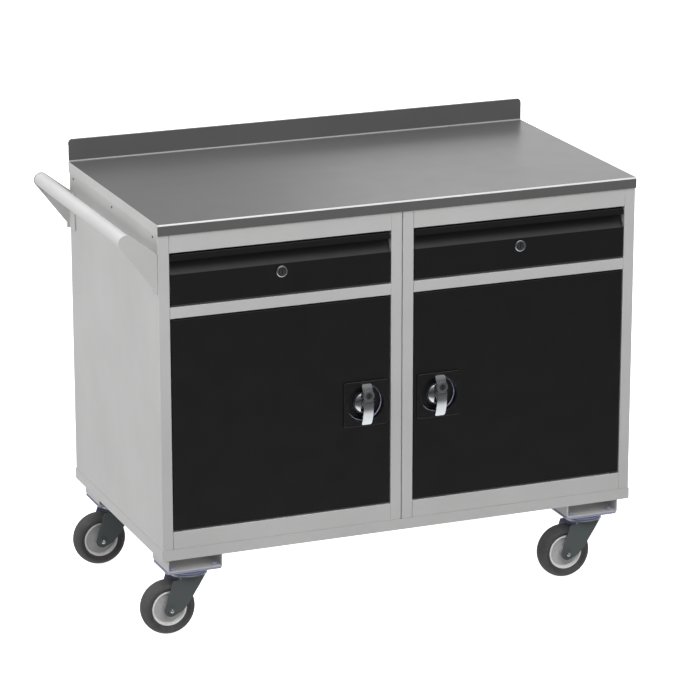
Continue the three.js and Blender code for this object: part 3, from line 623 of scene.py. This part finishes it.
def drawer_front():
    half = SHEET / 2
    face = DRAWER_LOW.y + half
    low, top = DRAWER_LOW.z + half, DRAWER_HIGH.z - half
    wall, ledge = face + SCOOP, LEDGE - half
    curve = bezier(
        (face, ledge), (face + SLOPE, ledge + SLOPE), (wall, ledge + TURN), (wall, top - LIP), 16,
    )
    bottom = rounded([(DRAWER_LOW.y + 16.5, low), (face, low), (face, ledge)], [0, 2.6, 0], 5)
    lip = rounded(
        [curve[-1], (face + SCOOP, top), (face, top), (face, top + half - LIP)],
        [0, 1.5, 1.5, 0], 5,
    )
    line = bottom[:-1] + curve[:-1] + lip
    plate = prism(sheet(line), "X", DRAWER_LOW.x, DRAWER_HIGH.x)
    clip = LIP_CLIP
    tools = [rod(LOCK_BORE, (-1, 5), "Y", (LOCK.x, 0, LOCK.z), 48)]
    for x, inward in ((DRAWER_LOW.x, 1), (DRAWER_HIGH.x, -1)):
        high = DRAWER_HIGH.z
        outline = [
            (x - inward, high - clip), (x, high - clip), (x + inward * clip, high),
            (x + inward * clip, high + 1), (x - inward, high + 1),
        ]
        tools.append(prism(outline, "Y", DRAWER_LOW.y - 1, DRAWER_LOW.y + 1.2 * SHEET))
    return cut(plate, *tools)


BEZEL_INSIDE = 9.2


def lock_housing():
    """A round bezel with a rounded rim, and the barrel behind it."""
    front = LOCK_LOW.y
    radius = (LOCK_HIGH.x - LOCK_LOW.x) / 2
    seat = DRAWER_LOW.y - 0.3
    rim = arc((radius - 2.2, front + 2.2), 2.2, -90, 0, 8)
    inner = [(7.3, LOCK_HIGH.y), (7.3, front + 2.0), (8.6, front + 1.4), (9.4, front + 0.2)]
    profile = inner + rim + [(radius, seat), (9.5, seat), (9.5, LOCK_HIGH.y)]
    housing = turned(profile, "Y", (LOCK.x, 0, LOCK.z), 96)
    for face in housing.faces:
        centre = face.calc_center_median()
        inside = math.hypot(centre.x - LOCK.x, centre.z - LOCK.z) < BEZEL_INSIDE
        face.material_index = 1 if inside else 0
    return housing


def key_plug(radius, front, back):
    """A lock plug with an upright keyway and a chamfered face."""
    plug = turned(
        [(0, front), (radius - 0.6, front), (radius, front + 0.6), (radius, back), (0, back)],
        "Y", (0, 0, 0), 64,
    )
    keyway = block((-0.8, 0.8), (front - 1, front + 4), (-0.82 * radius, 0.82 * radius))
    return cut(plug, keyway)


def drawer_plug():
    low, high = cabinet_box("drawer_lock_plug")
    plug = key_plug(PLUG_RADIUS, low.y, high.y)
    half = (high.z - low.z) / 2
    reach = high.x - LOCK.x
    outline = rounded(
        [(-half, -half), (reach, -half), (reach, half), (-half, half)],
        [half * 0.98, 3, 3, half * 0.98], 8, closed=True,
    )
    cam = prism(outline, "Y", high.y - 3, high.y)
    return moved(joined(plug, cam), (LOCK.x, 0, LOCK.z))


DISH_FLOOR = PLATE_HIGH.y - SHEET


def latch_plate():
    """A square escutcheon with a round dish."""
    front = PLATE_LOW.y
    size = PLATE_HIGH.x - PLATE_LOW.x
    line = rounded_rectangle(size, size, 6, 8)
    plate = prism(line, "Y", front, DOOR_LOW.y - 0.3)
    edges = [e for e in plate.edges if all(abs(v.co.y - front) < 0.01 for v in e.verts)]
    bmesh.ops.bevel(plate, geom=edges, offset=1.3, segments=3, profile=0.5, affect="EDGES")
    cup = rod(DISH_RADIUS + SHEET, (DOOR_LOW.y - 1.3, PLATE_HIGH.y), "Y", segments=96)
    corner = arc((DISH_RADIUS - 3, DISH_FLOOR - 3), 3, 0, 90, 6)
    dish = turned(
        [(0, front - 5), (DISH_RADIUS + 1.2, front - 5), (DISH_RADIUS + 1.2, front),
         (DISH_RADIUS, front + 1.2)] + corner + [(0, DISH_FLOOR)],
        "Y", segments=96,
    )
    bore = rod(6.4, (0, PLATE_HIGH.y + 5), "Y")
    plate = cut(joined(plate, cup), dish, bore)
    # Painted highlight: the bevel faces round the plate's front take the lighter plastic, standing in
    # for the highlight along its edge.
    for face in plate.faces:
        centre, normal = face.calc_center_median(), face.normal
        outside = max(abs(centre.x), abs(centre.z)) > size / 2 - 2
        face.material_index = 1 if outside and -0.95 < normal.y < -0.2 else 0
    return moved(plate, (LATCH.x, 0, LATCH.z))


def dish_highlight_ring():
    """A thin light ring round the dish's floor: a painted highlight standing in for the highlight along
    the dish's bottom fillet.
    """
    outer = DISH_RADIUS - 0.9
    profile = [
        (outer, DISH_FLOOR - 2.6), (outer, DISH_FLOOR - 0.4), (outer - 1.6, DISH_FLOOR - 0.4),
        (outer - 0.9, DISH_FLOOR - 1.2),
    ]
    return turned(profile, "Y", (LATCH.x, 0, LATCH.z), 96)


BOSS_PROUD = 2.5
BOSS_RISE = 23
BOSS_RADIUS = 13
HUB = 26.7
NECK = 8
STRAP = 4
STRAP_FRONT = LEVER_LOW.y + BOSS_PROUD
BOW = 13
STRAP_LENGTH = 93
STRAP_WIDTH = 23.7


def latch_lever():
    """A bowed strap on a domed hub, with a boss for its lock and a spindle behind."""
    half_length = STRAP_LENGTH / 2
    middle = STRAP_FRONT + STRAP / 2
    radius = (half_length ** 2 + BOW ** 2) / (2 * BOW)
    angle = math.degrees(math.asin(half_length / radius))
    line = arc((middle + radius, 0), radius, 180 + angle, 180 - angle, 36)
    strap = prism(sheet(line, STRAP), "X", -STRAP_WIDTH / 2, STRAP_WIDTH / 2)
    face = rounded_rectangle(STRAP_WIDTH, STRAP_LENGTH + 1.6, 4, 6)
    strap = combined("INTERSECT", strap, prism(face, "Y", LEVER_LOW.y - 5, 20))
    edge = DISH_FLOOR - 0.4
    dome = [
        (NECK + (HUB - NECK) * math.cos(a), edge - 13 * math.sin(a))
        for a in [math.radians(90 - 6 * i) for i in range(15)]
    ]
    hub = turned(
        [(0, middle), (NECK, middle)] + dome
        + [(HUB, edge), (6, edge), (6, LEVER_HIGH.y), (0, LEVER_HIGH.y)],
        "Y", segments=96,
    )
    front = LEVER_LOW.y
    rise = (0, 0, BOSS_RISE)
    boss = turned(
        [(0, front + 10.5), (BOSS_RADIUS, front + 10.5), (BOSS_RADIUS, front + 1.2),
         (BOSS_RADIUS - 1.2, front), (9.4, front), (9.0, front + 0.7), (0, front + 0.7)],
        "Y", rise, 72,
    )
    socket = rod(7.3, (front - 1, front + 8), "Y", rise, 64)
    lever = cut(joined(strap, hub, boss), socket)
    for face in lever.faces:
        centre = face.calc_center_median()
        in_boss = math.hypot(centre.x, centre.z - BOSS_RISE) < BOSS_RADIUS + 0.1
        face.material_index = 1 if in_boss and centre.y < front + 10 else 0
    return moved(lever, (LATCH.x, 0, LATCH.z))


def latch_plug():
    low, high = cabinet_box("latch_lock_plug")
    return moved(key_plug(PLUG_RADIUS, low.y, high.y), (LATCH.x, 0, (low.z + high.z) / 2))


def make_cabinet(side):
    def add(name, bm, material, body, slot, node=None, **keywords):
        nodes = [f"{side}_{node}"] if node else ()
        cabinet_piece(side, name, bm, material, body, slot, nodes, **keywords)

    drawer, drawer_lock = f"{side}_drawer", f"{side}_drawer_lock"
    leaf, latch, latch_lock = f"{side}_door", f"{side}_latch", f"{side}_latch_lock"
    add("skin", cabinet_skin(), cabinet_paint, "root", "cabinet_paint", "cabinet_shell",
        bevel=0.25)
    add("rails", front_rails(), cabinet_paint, "root", "cabinet_paint", "front_frame",
        bevel=0.3)
    add("drawer_face", drawer_front(), front_paint, drawer, "front_paint", "drawer_front",
        bevel=0.35)
    add("drawer_bezel", lock_housing(), [chrome_plate, lock_metal], drawer, "chrome_plate",
        "drawer_lock_housing")
    add("drawer_key_plug", drawer_plug(), lock_metal, drawer_lock, "lock_metal",
        "drawer_lock_plug", bevel=0.15)
    add("door_leaf", door(), front_paint, leaf, "front_paint", "door_panel", bevel=0.3)
    add("latch_escutcheon", latch_plate(), [latch_plastic, latch_plate_edge_highlight], leaf,
        "latch_plastic", "latch_plate")
    # Painted highlight: a light ring along the dish's floor.
    add("latch_ring", dish_highlight_ring(), zinc_plate, leaf, "zinc_plate")
    add("latch_handle", latch_lever(), [chrome_plate, satin_metal], latch, "chrome_plate",
        "latch_lever", bevel=0.5, segments=3)
    add("latch_key_plug", latch_plug(), lock_metal, latch_lock, "lock_metal",
        "latch_lock_plug", bevel=0.15)


# ------------------------------------------------------------------ screws in the sides


def pan_head(radius=2.8, height=1.6):
    """A pan head screw with a cross recess, drawn pointing up the Z axis."""
    angles = [math.radians(15 + 75 * i / 6) for i in range(6)]
    dome = [(radius * math.cos(a), height * math.sin(a)) for a in angles]
    head = turned([(0, -1), (radius * 0.97, -1)] + dome + [(0, height)], "Z", segments=40)
    slots = [
        block((-1.6, 1.6), (-0.35, 0.35), (height - 0.9, height + 1)),
        block((-0.35, 0.35), (-1.6, 1.6), (height - 0.9, height + 1)),
    ]
    return cut(head, *slots)


SCREW_DROP = 9.2
SCREW_INSET = 31.7


def make_side_screws():
    """Three screws along the top of each side hold the worktop."""
    z = BENCH_HIGH.z + HEIGHT - SCREW_DROP
    for side, x, out in (("left", SHELL_LOW.x, -1), ("right", RIGHT_EDGE, 1)):
        for i, y in enumerate((SCREW_INSET, DEPTH / 2, DEPTH - SCREW_INSET)):
            screw = pan_head()
            turn = Matrix.Rotation(out * math.pi / 2, 3, "Y")
            bmesh.ops.rotate(screw, verts=screw.verts, matrix=turn)
            moved(screw, (x, ORIGIN.y + y, z))
            piece(f"{side}_side_screw_{i + 1}", screw, lock_metal, "root", "lock_metal")


# ------------------------------------------------------------------ push handle


TUBE_EDGE = 0.6
BRACKET_SHEET = 3.0
FOOT_DROP = 31


def make_handle():
    low, high = box_mm("handle_tube")
    radius = (high.z - low.z) / 2
    centre = ((low.x + high.x) / 2, 0, (low.z + high.z) / 2)
    edge = TUBE_EDGE
    profile = [
        (radius - 2, low.y), (radius - edge, low.y), (radius, low.y + edge),
        (radius, high.y - edge), (radius - edge, high.y), (radius - 2, high.y),
    ]
    tube = turned(profile, "Y", centre, 96)
    piece("push_handle", tube, handle_paint, "root", "handle_paint", ["handle_tube"])
    for row in ("front", "rear"):
        make_bracket(row, centre)


def make_bracket(row, centre):
    """A tapered plate round the tube's end, with a foot on the cabinet's side."""
    low, high = box_mm(f"handle_{row}_bracket")
    lobe = centre[0] - low.x
    thickness = BRACKET_SHEET
    foot_top = centre[2] - FOOT_DROP
    corners = [(high.x, low.z), (high.x, foot_top)]
    angles = []
    for (x, z), turn in zip(corners[::-1], (-1, 1)):
        away = math.hypot(x - centre[0], z - centre[2])
        spread = math.acos(lobe / away)
        angles.append(math.degrees(math.atan2(z - centre[2], x - centre[0]) - turn * spread))
    outline = corners + arc((centre[0], centre[2]), lobe, angles[0], angles[1] + 360, 40)
    inward = 1 if row == "front" else -1
    outer = low.y if row == "front" else high.y
    plate = prism(outline, "Y", *sorted((outer, outer + inward * thickness)))
    width = high.y - low.y
    bend = rounded(
        [(high.x - thickness / 2, outer + inward * width),
         (high.x - thickness / 2, outer + inward * thickness / 2),
         (high.x - 9, outer + inward * thickness / 2)],
        2.2, 6,
    )
    foot = prism(sheet(bend, thickness), "Z", low.z, foot_top)
    piece(
        f"push_handle_{row}_plate", joined(plate, foot), cabinet_paint, "root",
        "cabinet_paint", [f"handle_{row}_bracket"], 0.5,
    )


# ------------------------------------------------------------------ casters


def hexagon(across_flats):
    return arc((0, 0), across_flats / math.sqrt(3), 0, 300, 5)


def hex_head(across_flats, bottom, height):
    """A hexagon with its upper corners turned off."""
    head = prism(hexagon(across_flats), "Z", bottom, bottom + height)
    reach = across_flats / 2
    top = bottom + height
    bowl = turned(
        [(0, bottom - 1), (reach * 1.3, bottom - 1), (reach * 1.3, top - 1.1),
         (reach * 0.96, top), (0, top)],
        "Z", segments=48,
    )
    return combined("INTERSECT", head, bowl)


CHANNEL_SHEET = 3.0


def caster_channel(low, high):
    """A channel of bent sheet, open at the front and the back."""
    half = CHANNEL_SHEET / 2
    line = rounded(
        [(low.x + half, high.z), (low.x + half, low.z + half), (high.x - half, low.z + half),
         (high.x - half, high.z)],
        2.2, 6,
    )
    return prism(sheet(line, CHANNEL_SHEET), "Y", low.y, high.y)


RACE_RADIUS = 42
KINGPIN_NUT = 24
PLATE_TOP_DROP = 8.6
PLATE_THICKNESS = 3.5
BOLT_SPREAD = (49, 36.5)
CROWN_RADIUS = 44
CROWN_HEIGHT = 4.5
KINGPIN_BORE = 7.3
AXLE_RADIUS = 6
AXLE_BORE = AXLE_RADIUS + 0.3


def caster_plate(low, high, crown_top):
    """The mounting plate with its bolts, the two ball races and the kingpin's nut."""
    x, y = (low.x + high.x) / 2, (low.y + high.y) / 2
    plate_top = high.z - PLATE_TOP_DROP
    plate_bottom = plate_top - PLATE_THICKNESS
    outline = rounded_rectangle(high.x - low.x, high.y - low.y, 10, 8)
    plate = prism(outline, "Z", plate_bottom, plate_top)
    corners = []
    for u in (-BOLT_SPREAD[0], BOLT_SPREAD[0]):
        for v in (-BOLT_SPREAD[1], BOLT_SPREAD[1]):
            seat = plate_top + 3.6
            washer = turned(
                [(4, seat), (7.6, seat), (7.6, seat + 0.8), (4, seat + 0.8)], "Z", (u, v, 0), 40,
            )
            head = moved(hex_head(13, seat + 0.9, 3.6), (u, v, 0))
            shank = rod(3.9, (plate_bottom - 1.5, seat + 2), "Z", (u, v, 0), 24)
            corners += [washer, head, shank]
    r = RACE_RADIUS
    middle = (plate_bottom + crown_top) / 2
    races = turned(
        [(0, plate_bottom + 0.5), (r - 3, plate_bottom + 0.5), (r - 1.2, plate_bottom - 1.0)]
        + arc((r - 1.9, middle + 2.2), 1.7, 45, -60, 5)
        + [(r - 3.4, middle)]
        + arc((r - 1.4, middle - 2.2), 1.8, 60, -45, 5)
        + [(r - 1.6, crown_top + 0.2), (7, crown_top + 0.2), (7, crown_top - 4.9), (0, crown_top - 4.9)],
        "Z", segments=96,
    )
    nut = hex_head(KINGPIN_NUT, crown_top - 13, 8)
    return moved(together(plate, races, nut, *corners), (x, y, 0))


LOBE = 15.5
LEG = 3.0
FORK_HALF = 28.5


def caster_fork(swivel, axle, crown_top):
    """The pressed fork: a domed crown and two legs that reach back to the axle."""
    trail = swivel[0] - axle[0]
    bottom = crown_top - CROWN_HEIGHT
    dome = arc((CROWN_RADIUS - 3, crown_top - 3), 3, 90, 0, 6)
    crown = turned(
        [(KINGPIN_BORE, crown_top)] + dome + [(CROWN_RADIUS, bottom), (KINGPIN_BORE, bottom)],
        "Z", segments=96,
    )
    edge = math.sqrt(CROWN_RADIUS ** 2 - FORK_HALF ** 2)
    notch = rounded([(-edge + 1, bottom + 1), (-27, bottom + 0.5), (-25.5, bottom - 3),
                     (-28, bottom - 7), (-43, bottom - 8)], [0, 2, 2.4, 3, 0], 6)
    front = [(-23, 57), (-6, 76), (5, 94), (18, 114), (edge - 1, bottom), (edge - 1, bottom + 1)]
    leading = rounded(front, [0, 18, 30, 30, 1.5, 0], 6)
    outline = notch + arc((-trail, axle[2]), LOBE, 168, 285, 20) + leading
    legs = [
        prism(outline, "Y", -FORK_HALF, -FORK_HALF + LEG),
        prism(outline, "Y", FORK_HALF - LEG, FORK_HALF),
    ]
    hole = rod(AXLE_BORE, (-FORK_HALF - 1, FORK_HALF + 1), "Y", (-trail, 0, axle[2]), 32)
    fork = cut(joined(crown, *legs), hole)
    for face in fork.faces:
        centre = face.calc_center_median()
        level = abs(face.normal.y) > 0.9
        inside = level and abs(abs(centre.y) - FORK_HALF + LEG) < 0.2
        in_notch = not level and centre.x < -20 and bottom - 9 < centre.z < bottom + 2
        on_rim = not level and centre.z > bottom + 0.1
        face.material_index = 1 if inside else 2 if in_notch or on_rim else 0
    return moved(fork, (swivel[0], swivel[1], 0))


def axle_bolt(axle):
    """A washer, a chamfered nut and the bolt's round end on each side of the fork."""
    solids = [rod(AXLE_RADIUS, (-FORK_HALF - 1, FORK_HALF + 1), "Y", segments=40)]
    for sign in (-1, 1):
        seat = sign * (FORK_HALF + 0.3)
        washer = turned(
            [(6, seat), (10.4, seat), (10.4, seat + sign * 0.9), (9.9, seat + sign * 1.4),
             (6, seat + sign * 1.4)],
            "Y", segments=64,
        )
        nut = hex_head(13.5, 0, 4.4)
        bmesh.ops.rotate(nut, verts=nut.verts,
                         matrix=Matrix.Rotation(-sign * math.pi / 2, 3, "X"))
        moved(nut, (0, seat + sign * 1.3, 0))
        end = turned(
            [(0, seat), (4.6, seat), (4.6, seat + sign * 5.6), (2.6, seat + sign * 6.8),
             (0, seat + sign * 5.0)],
            "Y", segments=40,
        )
        for solid, index in ((washer, 1), (nut, 2)):
            for face in solid.faces:
                face.material_index = index
        solids += [washer, nut, end]
    return moved(together(*solids), axle)


RIM_START = 35.3


def wheel_centre(low, high, axle):
    """A dished disc with a raised rim ring and a filler dimple in each side."""
    rim = (high.x - low.x) / 2
    hub = (high.y - low.y) / 2
    half = [
        (AXLE_BORE, hub), (11.2, hub), (12, hub - 0.8), (12.4, 13), (14.5, 9.6), (22, 8.2), (32.6, 7.4),
        (34.6, 9.0), (36.2, 15.6), (37.0, 16.5), (rim - 0.5, 16.5), (rim, 16.0),
    ]
    profile = half + [(r, -h) for r, h in reversed(half)]
    disc = turned(profile, "Y", segments=128)
    dimples = []
    for sign in (-1, 1):
        centre = (-19.5, 0, 16.5)
        dimples.append(turned(
            [(0, sign * 6.9), (2.6, sign * 6.9), (3.3, sign * 12), (0, sign * 12)],
            "Y", centre, 32,
        ))
    wheel = cut(disc, *dimples)
    # Painted highlight: the rim ring takes the lighter copy of the wheel plastic, standing in for the
    # light it catches.
    for face in wheel.faces:
        centre = face.calc_center_median()
        face.material_index = 1 if math.hypot(centre.x, centre.z) > RIM_START else 0
    return moved(wheel, axle)


TYRE_RADIUS = 62.5
TREAD_START = 49.5


def tyre(low, high, axle):
    """A solid tyre: rounded tread, a step in each side and a lip on the rim."""
    width = (high.y - low.y) / 2
    tread = [
        (TREAD_START + (TYRE_RADIUS - TREAD_START) * math.cos(a), width * math.sin(a))
        for a in [math.radians(90 - 90 * i / 14) for i in range(15)]
    ]
    half = [(41.3, 16.2), (42.2, 17.4), (44.5, 19.2), (45.4, 19.9), (46.0, 19.7), (46.9, 21.6)]
    half += tread
    profile = half + [(r, -h) for r, h in reversed(half[:-1])]
    return moved(turned(profile, "Y", segments=144), axle)


def make_caster(corner):
    def box(node):
        return box_mm(f"{corner}_{node}")

    wheel_low, wheel_high = box("wheel_centre")
    plate_low, plate_high = box("caster_plate")
    axle = tuple((wheel_low + wheel_high) / 2)
    swivel = ((plate_low.x + plate_high.x) / 2, (plate_low.y + plate_high.y) / 2)
    crown_top = box("caster_fork")[1].z
    fork_body, wheel_body = f"{corner}_fork", f"{corner}_wheel"

    def add(name, bm, material, body, slot, node, **keywords):
        piece(f"{corner}_{name}", bm, material, body, slot, [f"{corner}_{node}"], **keywords)

    add("mounting_channel", caster_channel(*box("caster_channel")), cabinet_paint, "root",
        "cabinet_paint", "caster_channel", bevel=0.4)
    add("swivel_plate", caster_plate(plate_low, plate_high, crown_top), zinc_plate, "root",
        "zinc_plate", "caster_plate", bevel=0.3)
    add("fork", caster_fork(swivel, axle, crown_top), [fork_plate, zinc_plate, chrome_plate],
        fork_body, "fork_plate", "caster_fork", bevel=0.5)
    add("axle", axle_bolt(axle), [chrome_plate, fork_plate, satin_metal], fork_body,
        "chrome_plate", "axle_bolt", bevel=0.2)
    add("wheel", wheel_centre(wheel_low, wheel_high, axle), [wheel_plastic, wheel_rim_highlight],
        wheel_body, "wheel_plastic", "wheel_centre")
    add("solid_tyre", tyre(*box("tyre"), axle), tyre_rubber, wheel_body, "tyre_rubber", "tyre")


# ------------------------------------------------------------------ CAD nodes that stay

KEPT = {
    "drawer_tray": (cabinet_paint, 0.5),
    "drawer_left_runner": (zinc_plate, 0.4),
    "drawer_right_runner": (zinc_plate, 0.4),
    "door_lower_pin": (front_paint, 0.5),
    "door_upper_pin": (front_paint, 0.5),
    "latch_tongue": (zinc_plate, 0.5),
}


def dress(node, material, bevel):
    """Gives a CAD node that stays its material and rounded edges."""
    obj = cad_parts[node]
    obj.data.materials.clear()
    obj.data.materials.append(material)
    modifier = obj.modifiers.new("round_edges", "BEVEL")
    modifier.width = bevel * MM
    modifier.segments = 3
    modifier.limit_method = "ANGLE"
    modifier.angle_limit = SHARP


def dress_kept_nodes():
    for name, (material, bevel) in KEPT.items():
        for side in SIDES:
            dress(f"{side}_{name}", material, bevel)
    dress("plinth_frame", cabinet_paint, 1.2)
    dress("worktop_core", board, 0.5)


# ------------------------------------------------------------------ stage


FLOOR_REACH = 40


def make_floor():
    """A white floor. It lights nothing, so the world below the bench does that instead."""
    reach = FLOOR_REACH
    mesh = bpy.data.meshes.new("floor")
    corners = [(-reach, -reach, 0), (reach, -reach, 0), (reach, reach, 0), (-reach, reach, 0)]
    mesh.from_pydata(corners, [], [(0, 1, 2, 3)])
    floor = bpy.data.objects.new("floor", mesh)
    bpy.context.scene.collection.objects.link(floor)
    floor.visible_glossy = False
    floor.visible_diffuse = False
    n = Nodes("floor_white")
    mottle = n.noise(400, 3.0)
    color = n.mix(n.spread(mottle, 0, 1), grey(0.93), grey(0.95))
    n.shader.inputs["Emission Color"].default_value = grey(1.0)
    n.shader.inputs["Emission Strength"].default_value = 0.95
    mesh.materials.append(n.finish(color, 0.9, mottle, 0.01))


def area_light(name, place, target, size, power, reflected=False):
    """A softbox that shows in reflections only if `reflected` is true."""
    data = bpy.data.lights.new(name, "AREA")
    data.shape = "RECTANGLE"
    data.size, data.size_y = size
    data.energy = power
    light = bpy.data.objects.new(name, data)
    light.location = place
    light.rotation_euler = (Vector(target) - Vector(place)).to_track_quat("-Z", "Y").to_euler()
    light.visible_camera = False
    light.visible_glossy = reflected
    bpy.context.scene.collection.objects.link(light)


# The studio's brightness by the height of a direction (-1 straight down, 1 straight up),
# in front of the bench and behind it.
STUDIO_FRONT = [(-1, 1.1), (-0.7, 0.9), (-0.42, 0.14), (0, 0.05), (0.3, 0.10), (0.65, 0.28),
                (0.85, 0.9), (1, 1.0)]
STUDIO_BACK = [(-1, 1.0), (-0.5, 0.6), (-0.1, 0.4), (0.1, 0.35), (0.3, 0.52), (0.6, 0.6),
               (1, 1.0)]


def make_world():
    world = bpy.data.worlds.new("studio")
    world.use_nodes = True
    nodes, links = world.node_tree.nodes, world.node_tree.links
    direction = nodes.new("ShaderNodeTexCoord").outputs["Generated"]
    parts = nodes.new("ShaderNodeSeparateXYZ")
    links.new(direction, parts.inputs[0])
    height = nodes.new("ShaderNodeMapRange")
    height.inputs[1].default_value = -1
    links.new(parts.outputs["Z"], height.inputs[0])
    depth = nodes.new("ShaderNodeMapRange")
    depth.inputs[1].default_value = -0.4
    depth.inputs[2].default_value = 0.4
    links.new(parts.outputs["Y"], depth.inputs[0])
    both = nodes.new("ShaderNodeMix")
    both.data_type = "RGBA"
    links.new(depth.outputs[0], both.inputs[0])
    for socket, stops in ((6, STUDIO_FRONT), (7, STUDIO_BACK)):
        ramp = nodes.new("ShaderNodeValToRGB")
        ramp.color_ramp.interpolation = "EASE"
        elements = ramp.color_ramp.elements
        for _ in stops[2:]:
            elements.new(0.5)
        for element, (place, value) in zip(elements, stops):
            element.position = (place + 1) / 2
            element.color = grey(value)
        links.new(height.outputs[0], ramp.inputs[0])
        links.new(ramp.outputs[0], both.inputs[socket])
    links.new(both.outputs[2], nodes["Background"].inputs["Color"])
    nodes["Background"].inputs["Strength"].default_value = 1.0
    bpy.context.scene.world = world


def make_light():
    make_world()
    bpy.context.scene.view_settings.view_transform = "Standard"
    middle = (0, 0, 0.6)
    area_light("top_softbox", (0.2, 0.4, 4.8), middle, (3, 3), 18)
    area_light("front_softbox", (-0.3, -4.0, 3.0), middle, (4, 4), 142)
    area_light("left_softbox", (-5.0, 0.3, 2.4), middle, (3, 3), 128)
    area_light("back_right_softbox", (3.8, 4.6, 2.4), middle, (4, 2.5), 34, reflected=True)


# The camera's direction in degrees, its distance in metres from the point it looks at, its
# lens in millimetres and its shift.
AZIMUTH = 22.07
ELEVATION = 16.82
DISTANCE = 8.16
LENS = 179.9
SHIFT = (0.0016, 0.0046)
CAMERA_TARGET = Vector((0.0687, 0.0807, 0.4947))


def make_camera():
    data = bpy.data.cameras.new("camera")
    data.lens = LENS
    data.sensor_width = 36
    data.shift_x, data.shift_y = SHIFT
    data.clip_end = 200
    camera = bpy.data.objects.new("camera", data)
    azimuth, elevation = math.radians(AZIMUTH), math.radians(ELEVATION)
    forward = Vector((
        math.sin(azimuth) * math.cos(elevation), math.cos(azimuth) * math.cos(elevation),
        -math.sin(elevation),
    ))
    camera.location = CAMERA_TARGET - forward * DISTANCE
    camera.rotation_euler = (math.radians(90 - ELEVATION), 0, -azimuth)
    bpy.context.scene.collection.objects.link(camera)
    bpy.context.scene.camera = camera


# ------------------------------------------------------------------ the whole scene

make_camera()
make_light()
make_floor()
make_worktop()
for cabinet_side in SIDES:
    make_cabinet(cabinet_side)
make_side_screws()
make_handle()
for caster_corner in CORNERS:
    make_caster(caster_corner)
dress_kept_nodes()
